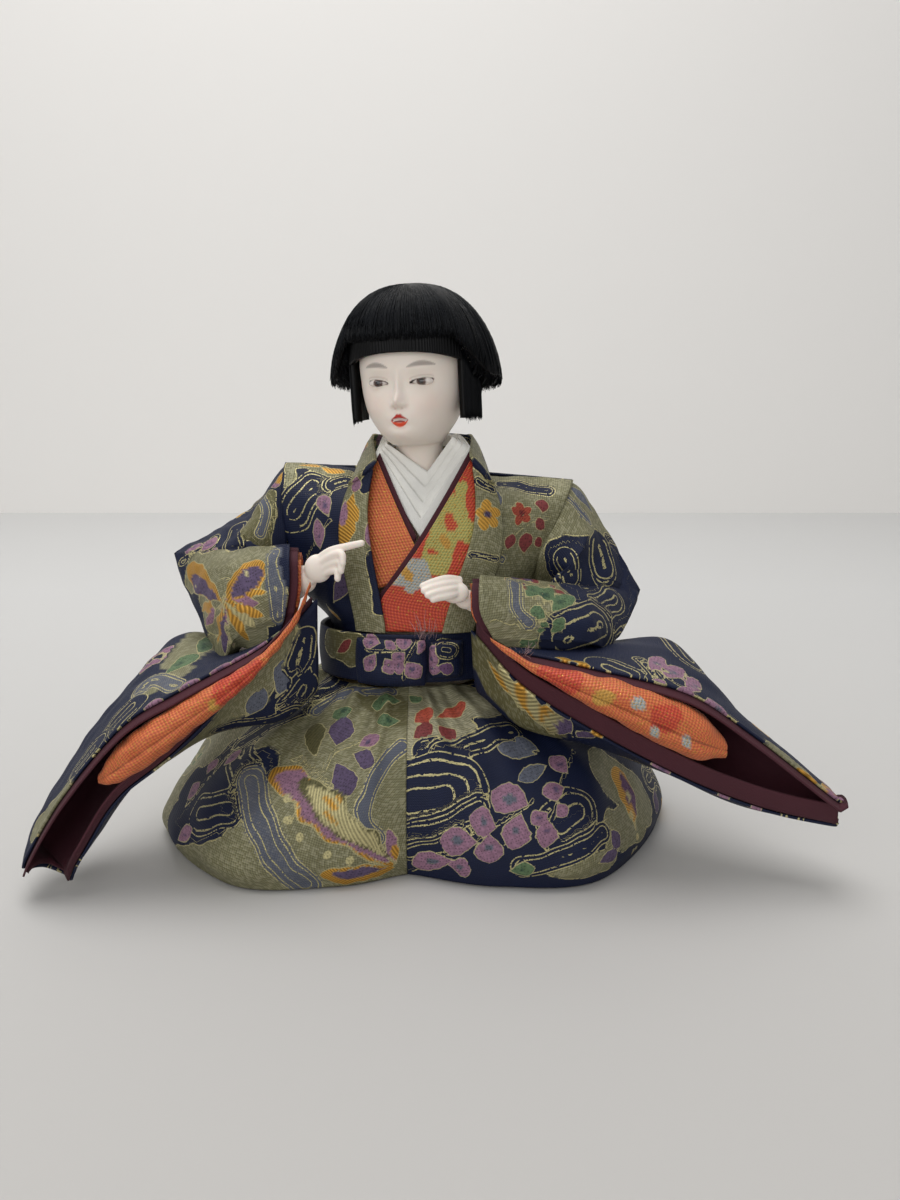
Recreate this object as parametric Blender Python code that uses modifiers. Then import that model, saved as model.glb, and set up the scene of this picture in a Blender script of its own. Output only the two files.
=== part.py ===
"""A seated festival doll: bobbed silk hair, a robe with wing sleeves and gathered trousers.

Lengths are in millimetres here and become metres when a mesh is made. The doll faces -Y,
+X is at the viewer's right, and the origin is the middle of the base board's underside.
"""

import math

import bmesh
import bpy
import numpy as np

MM = 0.001

# Cloth and clearances
CLOTH = 0.8
LINING = 0.6
GAP = 0.35
LIP = 4.5

# Base and lap
BOARD_THICK = 4.0
BOARD_INSET = 4.5
SEAM_X = -4.0
HEM_Z = 0.7
WAIST_Z = 56.0
DRAWN_WAIST_Z = 56.0
STUFFING_INSET = 1.6
STUFFING_DROP = 1.2
GATHERS = 7
GATHER_DEPTH = 0.9

# Belt
BELT_X = -3.5
BELT_Y = -3.0
BELT_LOW = 57.0
BELT_HIGH = 73.5
BELT_HALF_WIDTH = 32.6
BELT_HALF_DEPTH = 28.4
BELT_SLOPE = 0.1
BELT_THICK = 1.4
BOW_THICK = 3.6

# Torso and neck
TORSO_X = -3.0
TORSO_TOP = 124.0
PEG_RADIUS = 2.6
PEG_IN_TORSO = 16.0
PEG_IN_HEAD = 14.0

# Head, in its own frame before it is turned
HEAD_X = -1.7
HEAD_Y = -1.0
HEAD_Z = 158.0
HEAD_TURN = -15.0
HEAD_TILT = -3.0
EYE_SPREAD = 7.3
EYE_Z = -0.4
EYE_WIDTH = 4.0
EYE_HEIGHT = 1.3
EYE_DEPTH = 2.4
MOUTH_Z = -12.2
HEAD_HALF = 18.0
NECK_BOTTOM = -33.5

# Hair
HAIR_TOP = 31.0
CROWN_COLUMNS = 28
HAIR_THICK = 1.6
FRINGE_Z = 14.2
FRINGE_LOW = 9.0
FRINGE_ROOM = 2.3
FRINGE_THIN = 0.92
LOCK_BOTTOM = -13.0
LOCK_ROOM = 3.8
LOCK_RADIUS = HEAD_HALF + LOCK_ROOM
LOCK_THIN = 0.875
HAIR_SIDE = 29.5
HAIR_BACK = 26.0
HAIR_BACK_Z = -7.0
HAIR_SIDE_Z = 1.5

# Arms and hands
ARM_RADIUS = 3.6
WIRE_RADIUS = 0.8
FINGER_RADIUS = 1.35

# Colours, linear after conversion in paint()
WOOD = (178, 140, 95)
STRAW = (190, 165, 110)
PAPER = (222, 214, 196)
SKIN = (226, 219, 212)
EYE_BROWN = (60, 40, 32)
BLACK_SILK = (18, 19, 24)
WHITE_SILK = (226, 222, 210)
WINE = (88, 32, 46)
ORANGE = (205, 92, 52)
GOLD_ORANGE = (196, 104, 60)
NAVY = (26, 40, 68)
SAGE = (138, 138, 104)
SAGE_DARK = (104, 108, 88)
STEEL_WIRE = (150, 150, 150)


def clear_scene():
    for obj in list(bpy.data.objects):
        bpy.data.objects.remove(obj, do_unlink=True)


def new_collection(name):
    made = bpy.data.collections.new(name)
    bpy.context.scene.collection.children.link(made)
    return made


clear_scene()
DOLL = new_collection("festival_doll")
CUTTERS = new_collection("cutters")


# Materials and objects


def paint(obj, colour, roughness, metallic=0.0):
    material = bpy.data.materials.new(obj.name + "_material")
    material.use_nodes = True
    shader = material.node_tree.nodes["Principled BSDF"]
    linear = [((c / 255 + 0.055) / 1.055) ** 2.4 if c > 10 else c / 255 / 12.92 for c in colour]
    shader.inputs["Base Color"].default_value = (*linear, 1.0)
    shader.inputs["Roughness"].default_value = roughness
    shader.inputs["Metallic"].default_value = metallic
    obj.data.materials.clear()
    obj.data.materials.append(material)


def object_from_bmesh(name, mesh_data, collection=DOLL):
    mesh = bpy.data.meshes.new(name)
    bmesh.ops.recalc_face_normals(mesh_data, faces=mesh_data.faces[:])
    mesh_data.to_mesh(mesh)
    mesh_data.free()
    mesh.shade_smooth()
    obj = bpy.data.objects.new(name, mesh)
    collection.objects.link(obj)
    return obj


def make_cutter(obj):
    obj.hide_render = True
    obj.display_type = "WIRE"


def cut(obj, cutter):
    modifier = obj.modifiers.new("cut_" + cutter.name, "BOOLEAN")
    modifier.operation = "DIFFERENCE"
    modifier.solver = "EXACT"
    modifier.object = cutter


# Smooth curves and grids through chosen points


def curve_through(points, steps, sharp=(), wrap=False):
    """Points on a smooth line through the given ones, with corners kept at the sharp ones."""
    points = np.asarray(points, float)
    count = len(points)
    if wrap:
        index = np.arange(-1, count + 2) % count
        padded = points[index]
        spans = count
    else:
        first = 2 * points[0] - points[1]
        last = 2 * points[-1] - points[-2]
        padded = np.concatenate([[first], points, [last]])
        spans = count - 1
    made = []
    for i in range(spans):
        before, start, end, after = padded[i], padded[i + 1], padded[i + 2], padded[i + 3]
        if i in sharp:
            before = 2 * start - end
        if (i + 1) % count in sharp:
            after = 2 * end - start
        for t in np.arange(steps) / steps:
            made.append(
                0.5
                * (
                    2 * start
                    + (end - before) * t
                    + (2 * before - 5 * start + 4 * end - after) * t**2
                    + (3 * start - before - 3 * end + after) * t**3
                )
            )
    if not wrap:
        made.append(points[-1])
    return np.array(made)


def grid_through(rows, row_steps, column_steps, sharp_columns=(), wrap=False, sharp_rows=()):
    """A dense grid of points through a coarse one. Rows come first, then columns."""
    across = np.array([curve_through(row, column_steps, sharp_columns, wrap) for row in rows])
    flat = across.reshape(len(rows), -1)
    return curve_through(flat, row_steps, sharp_rows).reshape(-1, across.shape[1], 3)


def grid_normals(grid, wrap=False):
    along = np.gradient(grid, axis=0)
    if wrap:
        across = np.roll(grid, -1, axis=1) - np.roll(grid, 1, axis=1)
    else:
        across = np.gradient(grid, axis=1)
    normal = np.cross(along, across)
    return normal / np.maximum(np.linalg.norm(normal, axis=2, keepdims=True), 1e-9)


def grid_mesh(grid, wrap=False, caps=False):
    made = bmesh.new()
    rows, columns = grid.shape[:2]
    verts = [[made.verts.new(point * MM) for point in row] for row in grid]
    for i in range(rows - 1):
        for j in range(columns if wrap else columns - 1):
            k = (j + 1) % columns
            made.faces.new((verts[i][j], verts[i][k], verts[i + 1][k], verts[i + 1][j]))
    if caps:
        made.faces.new(verts[0][::-1])
        made.faces.new(verts[-1])
    return made


def shell_object(name, outer, inner, wrap=False):
    """A closed sheet between two like grids, joined along their edges."""
    made = bmesh.new()
    rows, columns = outer.shape[:2]
    sides = [
        [[made.verts.new(point * MM) for point in row] for row in grid] for grid in (outer, inner)
    ]
    around = columns if wrap else columns - 1
    for side, verts in enumerate(sides):
        for i in range(rows - 1):
            for j in range(around):
                k = (j + 1) % columns
                a, b, c, d = verts[i][j], verts[i][k], verts[i + 1][k], verts[i + 1][j]
                for face in ((a, b, c), (a, c, d)):
                    made.faces.new(face if side == 0 else face[::-1])
    for i in (0, rows - 1):
        for j in range(around):
            k = (j + 1) % columns
            made.faces.new((sides[0][i][j], sides[1][i][j], sides[1][i][k], sides[0][i][k]))
    if not wrap:
        for j in (0, columns - 1):
            for i in range(rows - 1):
                a, b = sides[0][i][j], sides[0][i + 1][j]
                c, d = sides[1][i + 1][j], sides[1][i][j]
                made.faces.new((a, b, c, d))
    return object_from_bmesh(name, made)


def inward(grid, distance, wrap=False, middle=(0.0, 12.0, 60.0)):
    """The grid moved by a distance to the side where a point inside the doll lies."""
    normal = grid_normals(grid, wrap)
    sign = np.sign(((np.asarray(middle) - grid) * normal).sum())
    return grid + normal * sign * distance


def sheet(name, grid, thick, wrap=False):
    """Cloth whose visible face is the grid, with its thickness on the inner side."""
    return shell_object(name, grid, inward(grid, thick, wrap), wrap)


def lump(name, grid):
    """A closed soft form from a loft of rings."""
    return object_from_bmesh(name, grid_mesh(grid, wrap=True, caps=True))


def ring(centre, half_x, half_y, count=16, power=2.0):
    angles = np.arange(count) * 2 * math.pi / count
    x = np.sign(np.cos(angles)) * np.abs(np.cos(angles)) ** (2 / power) * half_x
    y = np.sign(np.sin(angles)) * np.abs(np.sin(angles)) ** (2 / power) * half_y
    return np.stack([centre[0] + x, centre[1] + y, np.full(count, centre[2])], axis=1)


def ellipsoid(name, centre, radii, collection=DOLL, segments=16, rings=10):
    made = bmesh.new()
    bmesh.ops.create_uvsphere(made, u_segments=segments, v_segments=rings, radius=1.0)
    for vert in made.verts:
        for axis in range(3):
            vert.co[axis] = (vert.co[axis] * radii[axis] + centre[axis]) * MM
    return object_from_bmesh(name, made, collection)


def rod(name, points, radius, sides=10, steps=4):
    """A closed round rod along a smooth line."""
    line = curve_through(points, steps)
    tangent = np.gradient(line, axis=0)
    tangent /= np.linalg.norm(tangent, axis=1, keepdims=True)
    side = np.cross(tangent, (0.13, 0.31, 0.94))
    side /= np.linalg.norm(side, axis=1, keepdims=True)
    up = np.cross(side, tangent)
    angles = (np.arange(sides) * 2 * math.pi / sides)[None, :, None]
    grid = line[:, None] + radius * (side[:, None] * np.cos(angles) + up[:, None] * np.sin(angles))
    return lump(name, grid)


# Head frame: pieces on the head are modelled upright and then turned with it


def head_points(local):
    turn = math.radians(HEAD_TURN)
    tilt = math.radians(HEAD_TILT)
    local = np.asarray(local, float)
    x = local[..., 0] * math.cos(tilt) + local[..., 2] * math.sin(tilt)
    z = local[..., 2] * math.cos(tilt) - local[..., 0] * math.sin(tilt)
    y = local[..., 1]
    return np.stack(
        [
            HEAD_X + x * math.cos(turn) - y * math.sin(turn),
            HEAD_Y + x * math.sin(turn) + y * math.cos(turn),
            HEAD_Z + z,
        ],
        axis=-1,
    )


def turn_with_head(obj):
    count = len(obj.data.vertices)
    points = np.empty(count * 3)
    obj.data.vertices.foreach_get("co", points)
    points = head_points(points.reshape(-1, 3) / MM) * MM
    obj.data.vertices.foreach_set("co", points.reshape(-1))
    obj.data.update()


# Each level of the head: height, half width, depth to the front, depth to the back
HEAD_LEVELS = [
    (25.5, 4.0, 4.0, 4.5),
    (23.0, 10.0, 10.5, 11.0),
    (18.5, 14.6, 15.5, 16.0),
    (12.5, 17.2, 18.6, 18.5),
    (6.0, HEAD_HALF, 19.8, 19.0),
    (0.0, 17.8, 19.6, 18.0),
    (-5.0, 17.2, 19.9, 15.5),
    (-10.0, 15.8, 20.3, 12.0),
    (-14.5, 13.4, 19.9, 9.6),
    (-18.5, 10.4, 18.2, 8.6),
    (-20.8, 8.8, 14.4, 8.2),
    (-22.0, 8.1, 9.6, 8.0),
    (-27.0, 7.9, 8.0, 7.8),
    (NECK_BOTTOM, 8.3, 8.3, 8.2),
]


def head_grid(steps, count):
    """Rings of the head in its own frame. The first column is at the back."""
    levels = curve_through(HEAD_LEVELS, steps)
    angles = np.arange(count) * 2 * math.pi / count
    sine, cosine = np.sin(angles), np.cos(angles)
    rings = []
    for z, half, front, back in levels:
        depth = np.where(cosine < 0, front, back)
        squared = 2.2 if z > -20 else 2.0
        x = np.sign(sine) * np.abs(sine) ** (2 / squared) * half
        y = np.sign(cosine) * np.abs(cosine) ** (2 / squared) * depth
        rings.append(np.stack([x, y, np.full(count, z)], axis=1))
    grid = np.array(rings)
    return grid + face_relief(grid)


def bump(points, centre, size):
    distance = ((points[..., (0, 2)] - np.asarray(centre)) / np.asarray(size)) ** 2
    return np.exp(-distance.sum(axis=-1)) * (points[..., 1] < 0)


def face_relief(points):
    """How far each point of the face stands out from the plain head form."""
    out = 3.6 * bump(points, (0, -5.9), (2.0, 2.6))
    out += 1.5 * bump(points, (0, -1.0), (1.5, 4.5))
    out += 1.2 * bump(points, (0, -15.9), (4.5, 2.4))
    out += 0.9 * bump(points, (0, -10.5), (3.4, 1.6))
    for side in (-1, 1):
        out += 0.8 * bump(points, (side * 2.2, -7.0), (1.1, 1.1))
        out -= 1.3 * bump(points, (side * EYE_SPREAD, EYE_Z - 0.4), (4.6, 2.6))
        out += 0.7 * bump(points, (side * 8.8, -7.5), (4.0, 4.0))
    relief = np.zeros_like(points)
    relief[..., 1] = -out
    return relief


def build_head():
    head = lump("head", head_points(head_grid(2, 26)))
    paint(head, SKIN, 0.55)
    for side, name in ((-1, "left"), (1, "right")):
        centre = (side * EYE_SPREAD, -17.2, EYE_Z)
        radii = np.array([EYE_WIDTH, EYE_DEPTH, EYE_HEIGHT])
        eye = ellipsoid("eye_" + name, centre, radii, segments=10, rings=6)
        turn_with_head(eye)
        paint(eye, EYE_BROWN, 0.08)
        socket = ellipsoid("socket_" + name, centre, radii + GAP, CUTTERS, 10, 6)
        turn_with_head(socket)
        make_cutter(socket)
        cut(head, socket)
    mouth = ellipsoid("mouth_cutter", (0, -22.0, MOUTH_Z), (3.0, 3.4, 1.9), CUTTERS, 14, 8)
    turn_with_head(mouth)
    make_cutter(mouth)
    cut(head, mouth)
    hole = peg_solid("peg_hole_head", PEG_RADIUS + GAP, GAP, CUTTERS)
    make_cutter(hole)
    cut(head, hole)
    return head


def peg_solid(name, radius, extra, collection=DOLL):
    base = head_points([0, 0, NECK_BOTTOM])
    low = np.array([base[0], base[1], base[2] - PEG_IN_TORSO - extra])
    high = np.array([base[0], base[1], base[2] + PEG_IN_HEAD + extra])
    rows = [ring(point, radius, radius, 14) for point in (low, (low + high) / 2, high)]
    return object_from_bmesh(name, grid_mesh(np.array(rows), wrap=True, caps=True), collection)


# Hair: every lock is silk thread laid over the head


def skull_radius(angle, z):
    """Distance from the head's axis to its surface, at an angle from the front."""
    levels = curve_through(HEAD_LEVELS, 4)[::-1]
    half = np.interp(z, levels[:, 0], levels[:, 1])
    front = np.interp(z, levels[:, 0], levels[:, 2])
    back = np.interp(z, levels[:, 0], levels[:, 3])
    depth = np.where(np.cos(angle) > 0, front, back)
    power = 2.2
    spread = np.abs(np.sin(angle) / half) ** power + np.abs(np.cos(angle) / depth) ** power
    return spread ** (-1 / power)


def on_head(angle, radius, z):
    return np.stack([radius * np.sin(angle), -radius * np.cos(angle), z + 0 * angle], axis=-1)


def hair_hem(angle):
    """Height and radius of the lower edge of the outer hair at an angle from the front."""
    turn = np.abs(angle)
    height = np.interp(
        turn,
        np.radians([0, 48, 60, 75, 110, 180]),
        [FRINGE_Z, FRINGE_Z, FRINGE_Z - 5, HAIR_SIDE_Z, HAIR_SIDE_Z - 4, HAIR_BACK_Z],
    )
    radius = np.interp(
        turn,
        np.radians([0, 35, 60, 85, 120, 180]),
        [22.0, 22.6, 25.5, HAIR_SIDE, HAIR_SIDE - 1.0, HAIR_BACK],
    )
    return height, radius


def crown_angles():
    return np.arange(CROWN_COLUMNS) * 2 * math.pi / CROWN_COLUMNS - math.pi


def below_crown(angle):
    """Height just under the crown's lower edge, at an angle from the front."""
    angles = crown_angles()
    return np.interp(angle, angles, hair_hem(angles)[0]) - GAP - 0.1


def crown_grid(rows):
    """Outer face of the hair, from the crown to its lower edge."""
    angle = crown_angles()
    height, radius = hair_hem(angle)
    share = np.linspace(0.1, 1.0, rows)[:, None]
    rise = HAIR_TOP - height
    bend = np.cos(share * math.pi / 2) ** 1.15
    z = height + rise * bend
    out = radius * np.sin(share * math.pi / 2) ** 0.85
    return on_head(angle[None, :] + 0 * share, out, z)


def build_hair():
    outer = crown_grid(9)
    flat_angle = np.arctan2(outer[..., 0], -outer[..., 1])
    rising = np.linspace(1, 0, len(outer))[:, None]
    inner_z = np.minimum(outer[..., 2] - HAIR_THICK * rising, HEAD_LEVELS[0][0] + 1.3)
    inside = skull_radius(flat_angle, inner_z - 1.0) + GAP + 0.7
    reach = np.hypot(outer[..., 0], outer[..., 1])
    inside = np.minimum(inside, reach - 1.4)
    inner = on_head(flat_angle, inside, inner_z)
    top = np.minimum(HAIR_TOP - 2.0, inner_z[0].max())
    inner[0, :, 2] = top
    made = bmesh.new()
    grids = []
    for grid in (outer, inner):
        grids.append([[made.verts.new(head_points(p) * MM) for p in row] for row in grid])
    columns = outer.shape[1]
    for side, verts in enumerate(grids):
        for i in range(len(verts) - 1):
            for j in range(columns):
                k = (j + 1) % columns
                made.faces.new((verts[i][j], verts[i][k], verts[i + 1][k], verts[i + 1][j]))
        made.faces.new(verts[0])
    for j in range(columns):
        k = (j + 1) % columns
        made.faces.new((grids[0][-1][j], grids[0][-1][k], grids[1][-1][k], grids[1][-1][j]))
    crown = object_from_bmesh("hair_crown", made)
    paint(crown, BLACK_SILK, 0.4)

    angle = np.radians(np.linspace(-58, 58, 20))
    low = FRINGE_LOW - 3.2 * (np.abs(angle) / math.radians(58)) ** 2.2
    rows = []
    top = below_crown(angle)
    for share in np.linspace(0, 1, 4):
        z = top + (np.minimum(low, top - 1.5) - top) * share
        rows.append(on_head(angle, skull_radius(angle, z) + FRINGE_ROOM + GAP, z))
    fringe = np.array(rows)
    under = fringe * np.array([FRINGE_THIN, FRINGE_THIN, 1.0])
    under_piece = shell_object("hair_fringe_under", head_points(fringe), head_points(under))
    paint(under_piece, BLACK_SILK, 0.3)

    for side, name in ((-1, "left"), (1, "right")):
        angle = side * np.radians(np.linspace(66, 98, 8))
        rows = []
        top = below_crown(angle)
        for share in np.linspace(0, 1, 5):
            rows.append(on_head(angle, LOCK_RADIUS + 0 * angle, top + (LOCK_BOTTOM - top) * share))
        lock = np.array(rows)
        thin = lock * np.array([LOCK_THIN, LOCK_THIN, 1.0])
        piece = shell_object("hair_lock_" + name, head_points(lock), head_points(thin))
        paint(piece, BLACK_SILK, 0.4)


# Lap: two gathered trouser legs over stuffing, on the base board


# Each row runs from the front seam round the side to the back seam: x past the seam, y, z
LEG_ROWS = {
    -1: [
        [
            (0.4, -26, 56), (13, -26, 57), (25, -18, 56.5), (30, -2, 56),
            (25, 12, 54), (12, 19, 53), (0.4, 20, 53),
        ],
        [
            (0.4, -35, 51), (15, -37, 51), (33, -29, 50), (43, -3, 50),
            (34, 20, 50), (15, 30, 50), (0.4, 30, 50),
        ],
        [
            (0.4, -47, 42), (20, -50, 41), (47, -43, 39), (65, -6, 38),
            (50, 30, 38), (20, 40, 38), (0.4, 39, 38),
        ],
        [
            (0.4, -54, 27), (23, -59, 27), (56, -56, 24), (80, -11, 22),
            (60, 37, 22), (24, 46, 22), (0.4, 44, 22),
        ],
        [
            (0.4, -55, 10), (23, -62, 10), (59, -60, 9), (89, -15, 7),
            (64, 39, 8), (24, 47, 8), (0.4, 45, 8),
        ],
        [
            (0.4, -52, 0), (23, -60, 0), (58, -58, 0), (87, -16, 0),
            (62, 38, 0), (24, 46, 0), (0.4, 43, 0),
        ],
    ],
    1: [
        [
            (0.4, -26, 56), (11, -26, 57), (24, -18, 56.5), (30, -2, 56),
            (25, 12, 54), (12, 19, 53), (0.4, 20, 53),
        ],
        [
            (0.4, -35, 51), (17, -37, 51), (37, -29, 50), (47, 0, 50),
            (37, 20, 50), (17, 30, 50), (0.4, 30, 50),
        ],
        [
            (0.4, -47, 42), (25, -50, 41), (53, -41, 39), (70, -3, 38),
            (54, 30, 38), (24, 40, 38), (0.4, 39, 38),
        ],
        [
            (0.4, -54, 27), (29, -59, 27), (62, -52, 24), (84, -1, 22),
            (65, 37, 22), (27, 46, 22), (0.4, 44, 22),
        ],
        [
            (0.4, -55, 10), (30, -62, 10), (66, -56, 9), (93, -1, 7),
            (69, 39, 8), (28, 47, 8), (0.4, 45, 8),
        ],
        [
            (0.4, -52, 0), (30, -60, 0), (65, -54, 0), (92, -2, 0),
            (68, 38, 0), (28, 46, 0), (0.4, 43, 0),
        ],
    ],
}


def leg_rows(side):
    rows = []
    for row in LEG_ROWS[side]:
        placed = []
        for x, y, z in row:
            height = HEM_Z + z * (WAIST_Z - HEM_Z) / DRAWN_WAIST_Z
            placed.append((SEAM_X + side * x, y, height))
        rows.append(placed)
    return rows


def leg_grid(side, row_steps, column_steps):
    """The cloth of one leg, with gathers that open downwards from the belt."""
    grid = grid_through(leg_rows(side), row_steps, column_steps)
    normal = grid_normals(grid) * -side
    if side < 0:
        grid, normal = grid[:, ::-1], normal[:, ::-1]
    rows, columns = grid.shape[:2]
    down = np.linspace(0, 1, rows)[:, None]
    across = np.linspace(0, 1, columns)[None, :]
    fade = np.clip(1 - down / 0.62, 0, 1) ** 0.8 * np.minimum(1, 6 * down + 0.3)
    edge = np.minimum(1, 12 * np.minimum(across, 1 - across))
    wave = np.cos(across * GATHERS * 2 * math.pi)
    return grid + normal * (GATHER_DEPTH * wave * fade * edge)[..., None]


def hem_outline(inset):
    """The lower edge of both legs, as one closed outline, moved inwards."""
    left = curve_through(leg_rows(-1)[-1], 3)
    right = curve_through(leg_rows(1)[-1], 3)
    outline = np.concatenate([left, right[::-1]])
    ahead = np.roll(outline, -1, axis=0) - np.roll(outline, 1, axis=0)
    inward = np.stack([ahead[:, 1], -ahead[:, 0], 0 * ahead[:, 0]], axis=1)
    inward /= np.linalg.norm(inward, axis=1, keepdims=True)
    centre = np.array([0, -6.0, 0])
    toward = centre - outline
    sign = np.sign((inward * toward).sum(axis=1, keepdims=True))
    return outline + inward * sign * inset


def build_lap():
    outline = hem_outline(BOARD_INSET)
    low, high = outline.copy(), outline.copy()
    low[:, 2] = 0.0
    high[:, 2] = BOARD_THICK
    board = lump("base_board", np.array([low, high]))
    board.data.shade_flat()
    paint(board, WOOD, 0.6)
    for side, name in ((-1, "left"), (1, "right")):
        cloth = sheet("trouser_leg_" + name, leg_grid(side, 2, 3), CLOTH)
        paint(cloth, SAGE if side < 0 else NAVY, 0.6)
        rows = []
        for row in leg_rows(side)[1:]:
            loop = curve_through(row, 3)
            middle = loop.mean(axis=0)
            apart = loop - middle
            length = np.linalg.norm(apart[:, :2], axis=1, keepdims=True)
            loop = loop - apart * STUFFING_INSET * 1.6 / length
            loop[:, 0] = SEAM_X + side * np.maximum(side * (loop[:, 0] - SEAM_X), STUFFING_INSET)
            loop[:, 2] = np.clip(loop[:, 2] - STUFFING_DROP, BOARD_THICK + GAP, None)
            rows.append(loop)
        rows[-1][:, 2] = BOARD_THICK + GAP
        rows[-2][:, 2] = np.maximum(rows[-2][:, 2], BOARD_THICK + GAP + 2.0)
        pad = lump("leg_stuffing_" + name, np.array(rows))
        paint(pad, STRAW, 0.9)


# Torso, neck peg and arms inside the clothes


def build_core():
    levels = [
        (52.0, 20.5, 13.0),
        (62.0, 21.0, 13.5),
        (85.0, 24.5, 15.0),
        (105.0, 27.0, 13.0),
        (116.0, 27.0, 9.0),
        (TORSO_TOP - 2.0, 14.0, 7.5),
        (TORSO_TOP, 8.5, 6.5),
    ]
    rows = [ring((TORSO_X + 1.5, 0.5, z), x, y, 18, 2.4) for z, x, y in levels]
    torso = lump("torso_core", np.array(rows))
    paint(torso, PAPER, 0.9)
    hole = peg_solid("peg_hole_torso", PEG_RADIUS + GAP, GAP, CUTTERS)
    make_cutter(hole)
    cut(torso, hole)
    peg = peg_solid("neck_peg", PEG_RADIUS, 0.0)
    paint(peg, WOOD, 0.6)


ARM_LINES = {
    -1: [
        (-29.6, 3.5, 110.0), (-48.0, 5.5, 105.0), (-67.0, -4.0, 92.0),
        (-64.0, -20.0, 88.0), (-58.5, -29.0, 87.0),
    ],
    1: [
        (26.8, 3.5, 108.0), (43.0, 4.5, 101.0), (58.0, -4.0, 85.0),
        (56.0, -18.0, 82.0), (49.5, -28.0, 81.5),
    ],
}
WRISTS = {-1: (-38.5, -38.8, 96.0), 1: (16.0, -40.0, 90.6)}


def arm_end(side):
    """Where an arm's core stops, and the way it points there."""
    line = curve_through(ARM_LINES[side], 4)
    ahead = line[-1] - line[-2]
    return line[-1], ahead / np.linalg.norm(ahead)


def wire_route(side, extra):
    """From the end of an arm's core to the wrist, and by an extra length into the hand."""
    end, ahead = arm_end(side)
    wrist = np.array(WRISTS[side])
    start = end + ahead * (GAP + 0.4)
    further = (wrist - start) / np.linalg.norm(wrist - start)
    return [start, start + ahead * 2.0, (start + wrist) / 2, wrist + further * extra]


def build_arms():
    for side, name in ((-1, "left"), (1, "right")):
        core = rod("arm_core_" + name, ARM_LINES[side], ARM_RADIUS)
        paint(core, PAPER, 0.9)
        wire = rod("wrist_wire_" + name, wire_route(side, 0.0), WIRE_RADIUS, 8, 2)
        paint(wire, STEEL_WIRE, 0.4, 1.0)


# Hands: a palm and four fingers run together


HAND_FINGERS = {
    -1: [
        [(-34, -40.5, 101.5), (-28, -42.5, 106.5), (-22, -44.5, 108.6), (-17.2, -46, 110)],
        [(-34, -41.5, 100), (-28, -43.5, 105), (-23.6, -46, 106.6), (-23, -47.5, 104)],
        [(-34, -41.5, 98.5), (-28, -43.5, 102.6), (-23.9, -46.2, 104), (-23.6, -47.5, 101.6)],
        [(-34, -41, 97), (-28.6, -43, 100.2), (-25, -45.8, 101.2), (-24.8, -47, 99)],
        [(-35, -40, 99), (-29, -40, 104), (-25.5, -41.5, 106)],
    ],
    1: [
        [(13.2, -41.4, 97.2), (9, -45.5, 98.6), (4.6, -48.5, 98.2), (1.6, -50, 97.4)],
        [(13.2, -42.8, 96.6), (9, -47, 97.3), (4.6, -49.9, 96.9), (2, -51.2, 96.2)],
        [(13.2, -43.8, 95.4), (9.5, -48, 95.7), (5.4, -50.8, 95.4), (3.2, -52, 94.9)],
        [(13.2, -44, 94), (10, -48.4, 94), (6.4, -51, 93.9), (4.8, -52, 93.6)],
        [(13.6, -40.4, 92.4), (11, -42.5, 92), (7.8, -45, 92.6)],
    ],
}
HAND_PALMS = {
    -1: [((-36.6, -39.4, 97.0), (4.4, 2.7, 4.6)), ((-31.5, -41.3, 101.0), (4.4, 2.9, 4.6))],
    1: [((15.4, -40.2, 90.7), (4.0, 2.4, 3.0)), ((11.6, -44.0, 93.9), (4.4, 3.1, 3.5))],
}


def build_hands():
    for side, name in ((-1, "left"), (1, "right")):
        made = bmesh.new()
        for points in HAND_FINGERS[side]:
            finger = rod("finger", points, FINGER_RADIUS, 8, 3)
            tip = ellipsoid("tip", points[-1], (FINGER_RADIUS,) * 3, segments=8, rings=6)
            for piece in (finger, tip):
                made.from_mesh(piece.data)
                bpy.data.objects.remove(piece, do_unlink=True)
        for centre, radii in HAND_PALMS[side]:
            palm = ellipsoid("palm", centre, radii, segments=12, rings=8)
            made.from_mesh(palm.data)
            bpy.data.objects.remove(palm, do_unlink=True)
        hand = object_from_bmesh("hand_" + name, made)
        skin = hand.modifiers.new("one_skin", "REMESH")
        skin.mode = "VOXEL"
        skin.voxel_size = 0.55 * MM
        fewer = hand.modifiers.new("fewer_faces", "DECIMATE")
        fewer.ratio = 0.1
        hole = rod("wire_hole_" + name, wire_route(side, GAP), WIRE_RADIUS + GAP, 8, 2)
        DOLL.objects.unlink(hole)
        CUTTERS.objects.link(hole)
        make_cutter(hole)
        cut(hand, hole)
        paint(hand, SKIN, 0.55)


# Collars: bands from the belt, over one shoulder, round the neck and down again


LAYER = 1.15
NECK_X = 0.2
NECK_Y = 1.0
NECK_HALF = 11.8
CHEST_PROFILE = [
    (59, -22.6),
    (75, -22.4),
    (88, -21.8),
    (97, -20.8),
    (108, -18.6),
    (120, -14.2),
    (128, -11.4),
    (134, -9.6),
    (140, -7.6),
]


def chest_y(x, z, layer):
    """Depth of a layer of cloth over the chest."""
    heights = [point[0] for point in CHEST_PROFILE]
    depths = [point[1] for point in CHEST_PROFILE]
    return np.interp(z, heights, depths) + 0.010 * x * x - LAYER * layer


def on_chest(points, layer, steps=3):
    """A smooth line through points given as x and z, laid on a layer of the chest."""
    return [(x, chest_y(x, z, layer), z) for x, z in curve_through(points, steps)]


def round_neck(layer, z, count=5, drop=0.0):
    """Points behind the neck, from the left side to the right."""
    angles = np.linspace(math.pi, 0, count + 2)[1:-1]
    half = NECK_HALF + LAYER * layer
    return [
        (NECK_X + half * math.cos(a), NECK_Y + half * math.sin(a), z - drop * math.sin(a))
        for a in angles
    ]


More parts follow.
